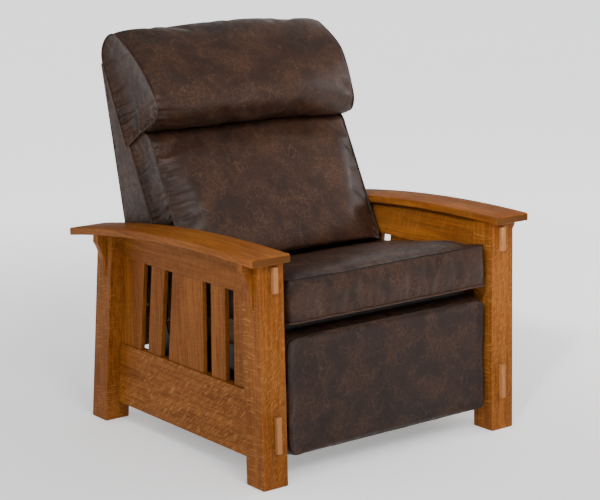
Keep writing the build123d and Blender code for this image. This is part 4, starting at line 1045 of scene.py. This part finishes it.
def place(piece, material, body, slot):
    """Finishes a new piece: its material and body. Its slot is not used."""
    piece.data.materials.append(material)
    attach(piece, body)


# Studio helpers


def floor_finish():
    """Plain pale floor with hardly any tone."""
    paint = Paint("floor_finish")
    tone = paint.noise(paint.place, 0.7, 2)
    away = paint.add("VectorMath", {0: paint.place}, operation="LENGTH").outputs["Value"]
    glow = paint.ramp(away, glow_from, glow_to, floor_glow, far_glow)
    base = paint.mix(tone, (0.93, 0.93, 0.93), (0.96, 0.96, 0.96))
    rough = paint.ramp(tone, 0.0, 1.0, 0.85, 0.95)
    return paint.finish(base, rough, Emission_Color=white, Emission_Strength=glow)


def soft_light(name, spot, aim, size, power, spread=180):
    """A square area light that looks at a place, with its spread in degrees."""
    data = bpy.data.lights.new(name, "AREA")
    data.size = size
    data.energy = power
    data.spread = radians(spread)
    light = bpy.data.objects.new(name, data)
    light.location = spot
    light.rotation_euler = (Vector(aim) - Vector(spot)).to_track_quat("-Z", "Y").to_euler()
    bpy.context.scene.collection.objects.link(light)


# Frame finishes

# Each with its grain's axis, the strength of its flecks, its tone, its end grain's tone, the turn and slant
# of its flecks, and whether it ends in a tenon that shows
grains = {
    "front_post": ("z", 0.38, 0.97, 1.0, 0, 50),
    "rear_post": ("z", 0.35, 0.95, 1.0, 8),
    "arm": ("y", 0.12, 1.0, 0.60, 80),
    "upper_rail": ("y", 0.16, 0.95, 1.0, 70, 0, True),
    "lower_rail": ("y", 0.55, 0.95, 1.0, 38, 0, True),
    "wide_slat": ("z", 0.12, 0.92, 1.0, 20),
    "narrow_slats": ("z", 0.10, 0.90, 1.0, 0),
    "end_stiles": ("z", 0.20, 0.92, 1.0, 5),
}
for stem, choices in grains.items():
    finish = oak(f"oak_{stem}", *choices)
    for side_name in ("left", "right"):
        dress(f"{stem}_{side_name}", finish, 0.0011)
dress("corbels", oak("oak_corbels", "z", 0.15, 0.95), 0.0011)
dress("rear_stretcher", oak("oak_rear_stretcher", "x", 0.5, 0.92), 0.0015)

inner = plain_wood("inner_wood", "y", *inner_wood_colors)
inner_across = plain_wood("inner_wood_across", "x", *inner_wood_colors)
inner_up = plain_wood("inner_wood_upright", "z", *inner_wood_colors)
ply = plain_wood("plywood", "x", *plywood_colors)
for node in ("seat_rear_rail", "back_rails"):
    dress(node, inner_across)
dress("seat_side_rails", inner)
dress("back_stiles", inner_up)
dress("arm_dowels", inner_up)
dress("footrest_board", ply)

# Each steel's colour, its least and greatest roughness, and whether it is bare metal
steels = {
    "black_steel": ((0.012, 0.012, 0.013), 0.30, 0.48, 0.0),
    "zinc_steel": ((0.52, 0.52, 0.50), 0.28, 0.46, 1.0),
    "spring_steel": ((0.16, 0.16, 0.165), 0.30, 0.5, 1.0),
}
steels = {slot: steel(slot, *look) for slot, look in steels.items()}
deck_cloth = cloth("deck_cloth", (0.005, 0.0046, 0.0042))
hide = leather("leather", 1.15)
# The seat cushion and the footrest pad take the same leather toned darker: painted shade for their less lit
# faces
seat_shaded_hide = leather("seat_leather", 0.90)
pad_shaded_hide = leather("pad_leather", 0.72)
# The front rail's leather is toned nearly black: painted shade for the shadowed strip under the seat cushion
rail_shade_hide = leather("dark_leather", 0.3)
# Welt leathers: the same leather toned 1.6 times lighter as a painted highlight on welts that catch the
# light, and 0.35 times as dark as painted shade on welts in shadow
lit_welt_hide = leather("leather_welt_painted_highlight", 1.6, 0.0)
shaded_welt_hide = leather("leather_welt_painted_shade", 0.35, 0.0)
for part in frame["record"]["subparts"]:
    if part.get("material_slot") in steels:
        dress(part["node"], steels[part["material_slot"]])
dress("seat_deck", deck_cloth, 0.001)

# Soft pieces

seat = seat_cushion()
lumbar = ringed("lumbar_cushion_leather", 0.75, lumbar_half, lumbar_section, (0, 39, 48, 87))
pillow = ringed("headrest_pillow_leather", 0.7, pillow_half, pillow_section, (0, 42, 55, 97))
pad = covered_panel("footrest_pad_leather", "footrest", "leather", 0.85, **pad_sizes, **pad_rounding)
rail_cover = covered_panel("front_rail_leather", "seat", "dark_leather", 0.9, **rail_sizes, **rail_rounding)
cushions = (seat, lumbar, pillow, pad, rail_cover)
for cushion in cushions:
    cushion.build()
# Each case with its pressure and how far its leather may stretch
settle([(seat, 3.0, 0.01), (lumbar, 3.5, 0.015), (pillow, 3.5, 0.02), (pad, 2.0, 0.01)])
for cushion in cushions:
    cushion.refine()
    cushion.set_free()

sway(seat, 31, 0.0040, 0.09, 0.44, 0.05)
droop(pillow)
sway(pillow, 37, 0.0050, 0.30, 0.95, 0.06)
# Each case's dents: a seed, their height and their size
for dents in (
    (seat, 3, 0.0016, 0.12),
    (lumbar, 7, 0.0016, 0.11),
    (pillow, 11, 0.0012, 0.11),
    (pad, 17, 0.0008, 0.12),
    (rail_cover, 19, 0.0005, 0.05),
):
    dimple(*dents)
# Each seam's gathers: the case, the seam, a seed, their height, spacing and reach, and where they are higher
for gathers in (
    (seat, 0, 3, 0.0006, 0.036, 0.020),
    (seat, 1, 5, 0.0009, 0.030, 0.022),
    (lumbar, 0, 7, 0.0036, 0.019, 0.026, 0.0, 1.0, lumbar_drawn),
    (lumbar, 1, 9, 0.0010, 0.032, 0.020),
    (pillow, 0, 11, 0.0034, 0.024, 0.028, 0.25, 1.3, pillow_drawn),
    (pillow, 1, 13, 0.0018, 0.031, 0.020, 0.25, 1.3, pillow_drawn),
):
    gather(*gathers)
for cushion in (seat, lumbar, pillow):
    pinch_seams(cushion)

for cushion, node, finish in (
    (seat, "seat_cushion", seat_shaded_hide),
    (lumbar, "lumbar_cushion", hide),
    (pillow, "headrest_pillow", hide),
    (pad, "footrest_pad", pad_shaded_hide),
    (rail_cover, "seat_front_rail", rail_shade_hide),
):
    place(cushion.piece, finish, cushion.body, cushion.slot)
    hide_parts(node)

# Each welt's case, seam, radius, how far out of the seam it stands in radii, and finish; the lit welt leather
# is a painted highlight and the shaded welt leather is painted shade
for cushion, number, radius, outset, finish in (
    (seat, 0, 0.0019, 0.3, shaded_welt_hide),
    (seat, 1, 0.0026, 0.6, lit_welt_hide),
    (lumbar, 0, 0.0022, 0.5, lit_welt_hide),
    (lumbar, 1, 0.0022, 0.5, shaded_welt_hide),
    (pillow, 0, 0.0022, 0.5, hide),
    (pillow, 1, 0.0022, 0.5, shaded_welt_hide),
):
    place(welt(cushion, number, radius, outset), finish, cushion.body, cushion.slot)

cover, cover_cords = back_cover()
place(cover, hide, "back", "leather")
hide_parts("back_cover")
for cord in cover_cords:
    place(cord, hide, "back", "leather")

# Floor, light and camera

floor_corners = [(x * floor_reach, y * floor_reach, 0) for x, y in ((-1, -1), (1, -1), (1, 1), (-1, 1))]
floor = make_piece("floor", floor_corners, [(0, 1, 2, 3)])
floor.data.materials.append(floor_finish())

world = bpy.data.worlds.new("studio")
world.use_nodes = True
tree = world.node_tree
toward = tree.nodes.new("ShaderNodeVectorMath")
toward.operation = "DOT_PRODUCT"
toward.inputs[1].default_value = sky_front
tree.links.new(tree.nodes.new("ShaderNodeTexCoord").outputs["Generated"], toward.inputs[0])
falloff = tree.nodes.new("ShaderNodeMapRange")
falloff.interpolation_type = "SMOOTHSTEP"
for number, value in enumerate((-1.0, 1.0, sky_dark, sky_bright), 1):
    falloff.inputs[number].default_value = value
tree.links.new(toward.outputs["Value"], falloff.inputs[0])
tree.links.new(falloff.outputs[0], tree.nodes["Background"].inputs["Strength"])
tree.nodes["Background"].inputs["Color"].default_value = white
bpy.context.scene.world = world

# Each light's name, place, aim, size, power and spread
for light in (
    ("key_light", (-1.2, -4.2, 3.4), (0, 0, 0.75), 1.5, 125),
    ("side_light", (4.2, -1.0, 1.9), (0, 0, 0.8), 1.5, 66),
    ("fill_light", (-2.2, -1.9, 2.4), (0.40, -0.12, 0.52), 0.8, 2.6, 14),
    ("rim_light", (2.2, 2.4, 2.6), (0, 0.1, 0.8), 1.6, 10),
):
    soft_light(*light)

camera_data = bpy.data.cameras.new("camera")
camera_data.lens = camera_lens
camera_data.sensor_width = camera_sensor
camera_data.clip_end = 200
camera = bpy.data.objects.new("camera", camera_data)
bpy.context.scene.collection.objects.link(camera)
yaw, pitch, roll = map(radians, camera_turns)
ahead = Vector((sin(yaw) * cos(pitch), cos(yaw) * cos(pitch), -sin(pitch)))
level = Vector((cos(yaw), -sin(yaw), 0))
down = ahead.cross(level)
right = cos(roll) * level + sin(roll) * down
up = sin(roll) * level - cos(roll) * down
turned = Matrix((right, up, -ahead)).transposed().to_4x4()
camera.matrix_world = Matrix.Translation(camera_spot) @ turned
bpy.context.scene.camera = camera
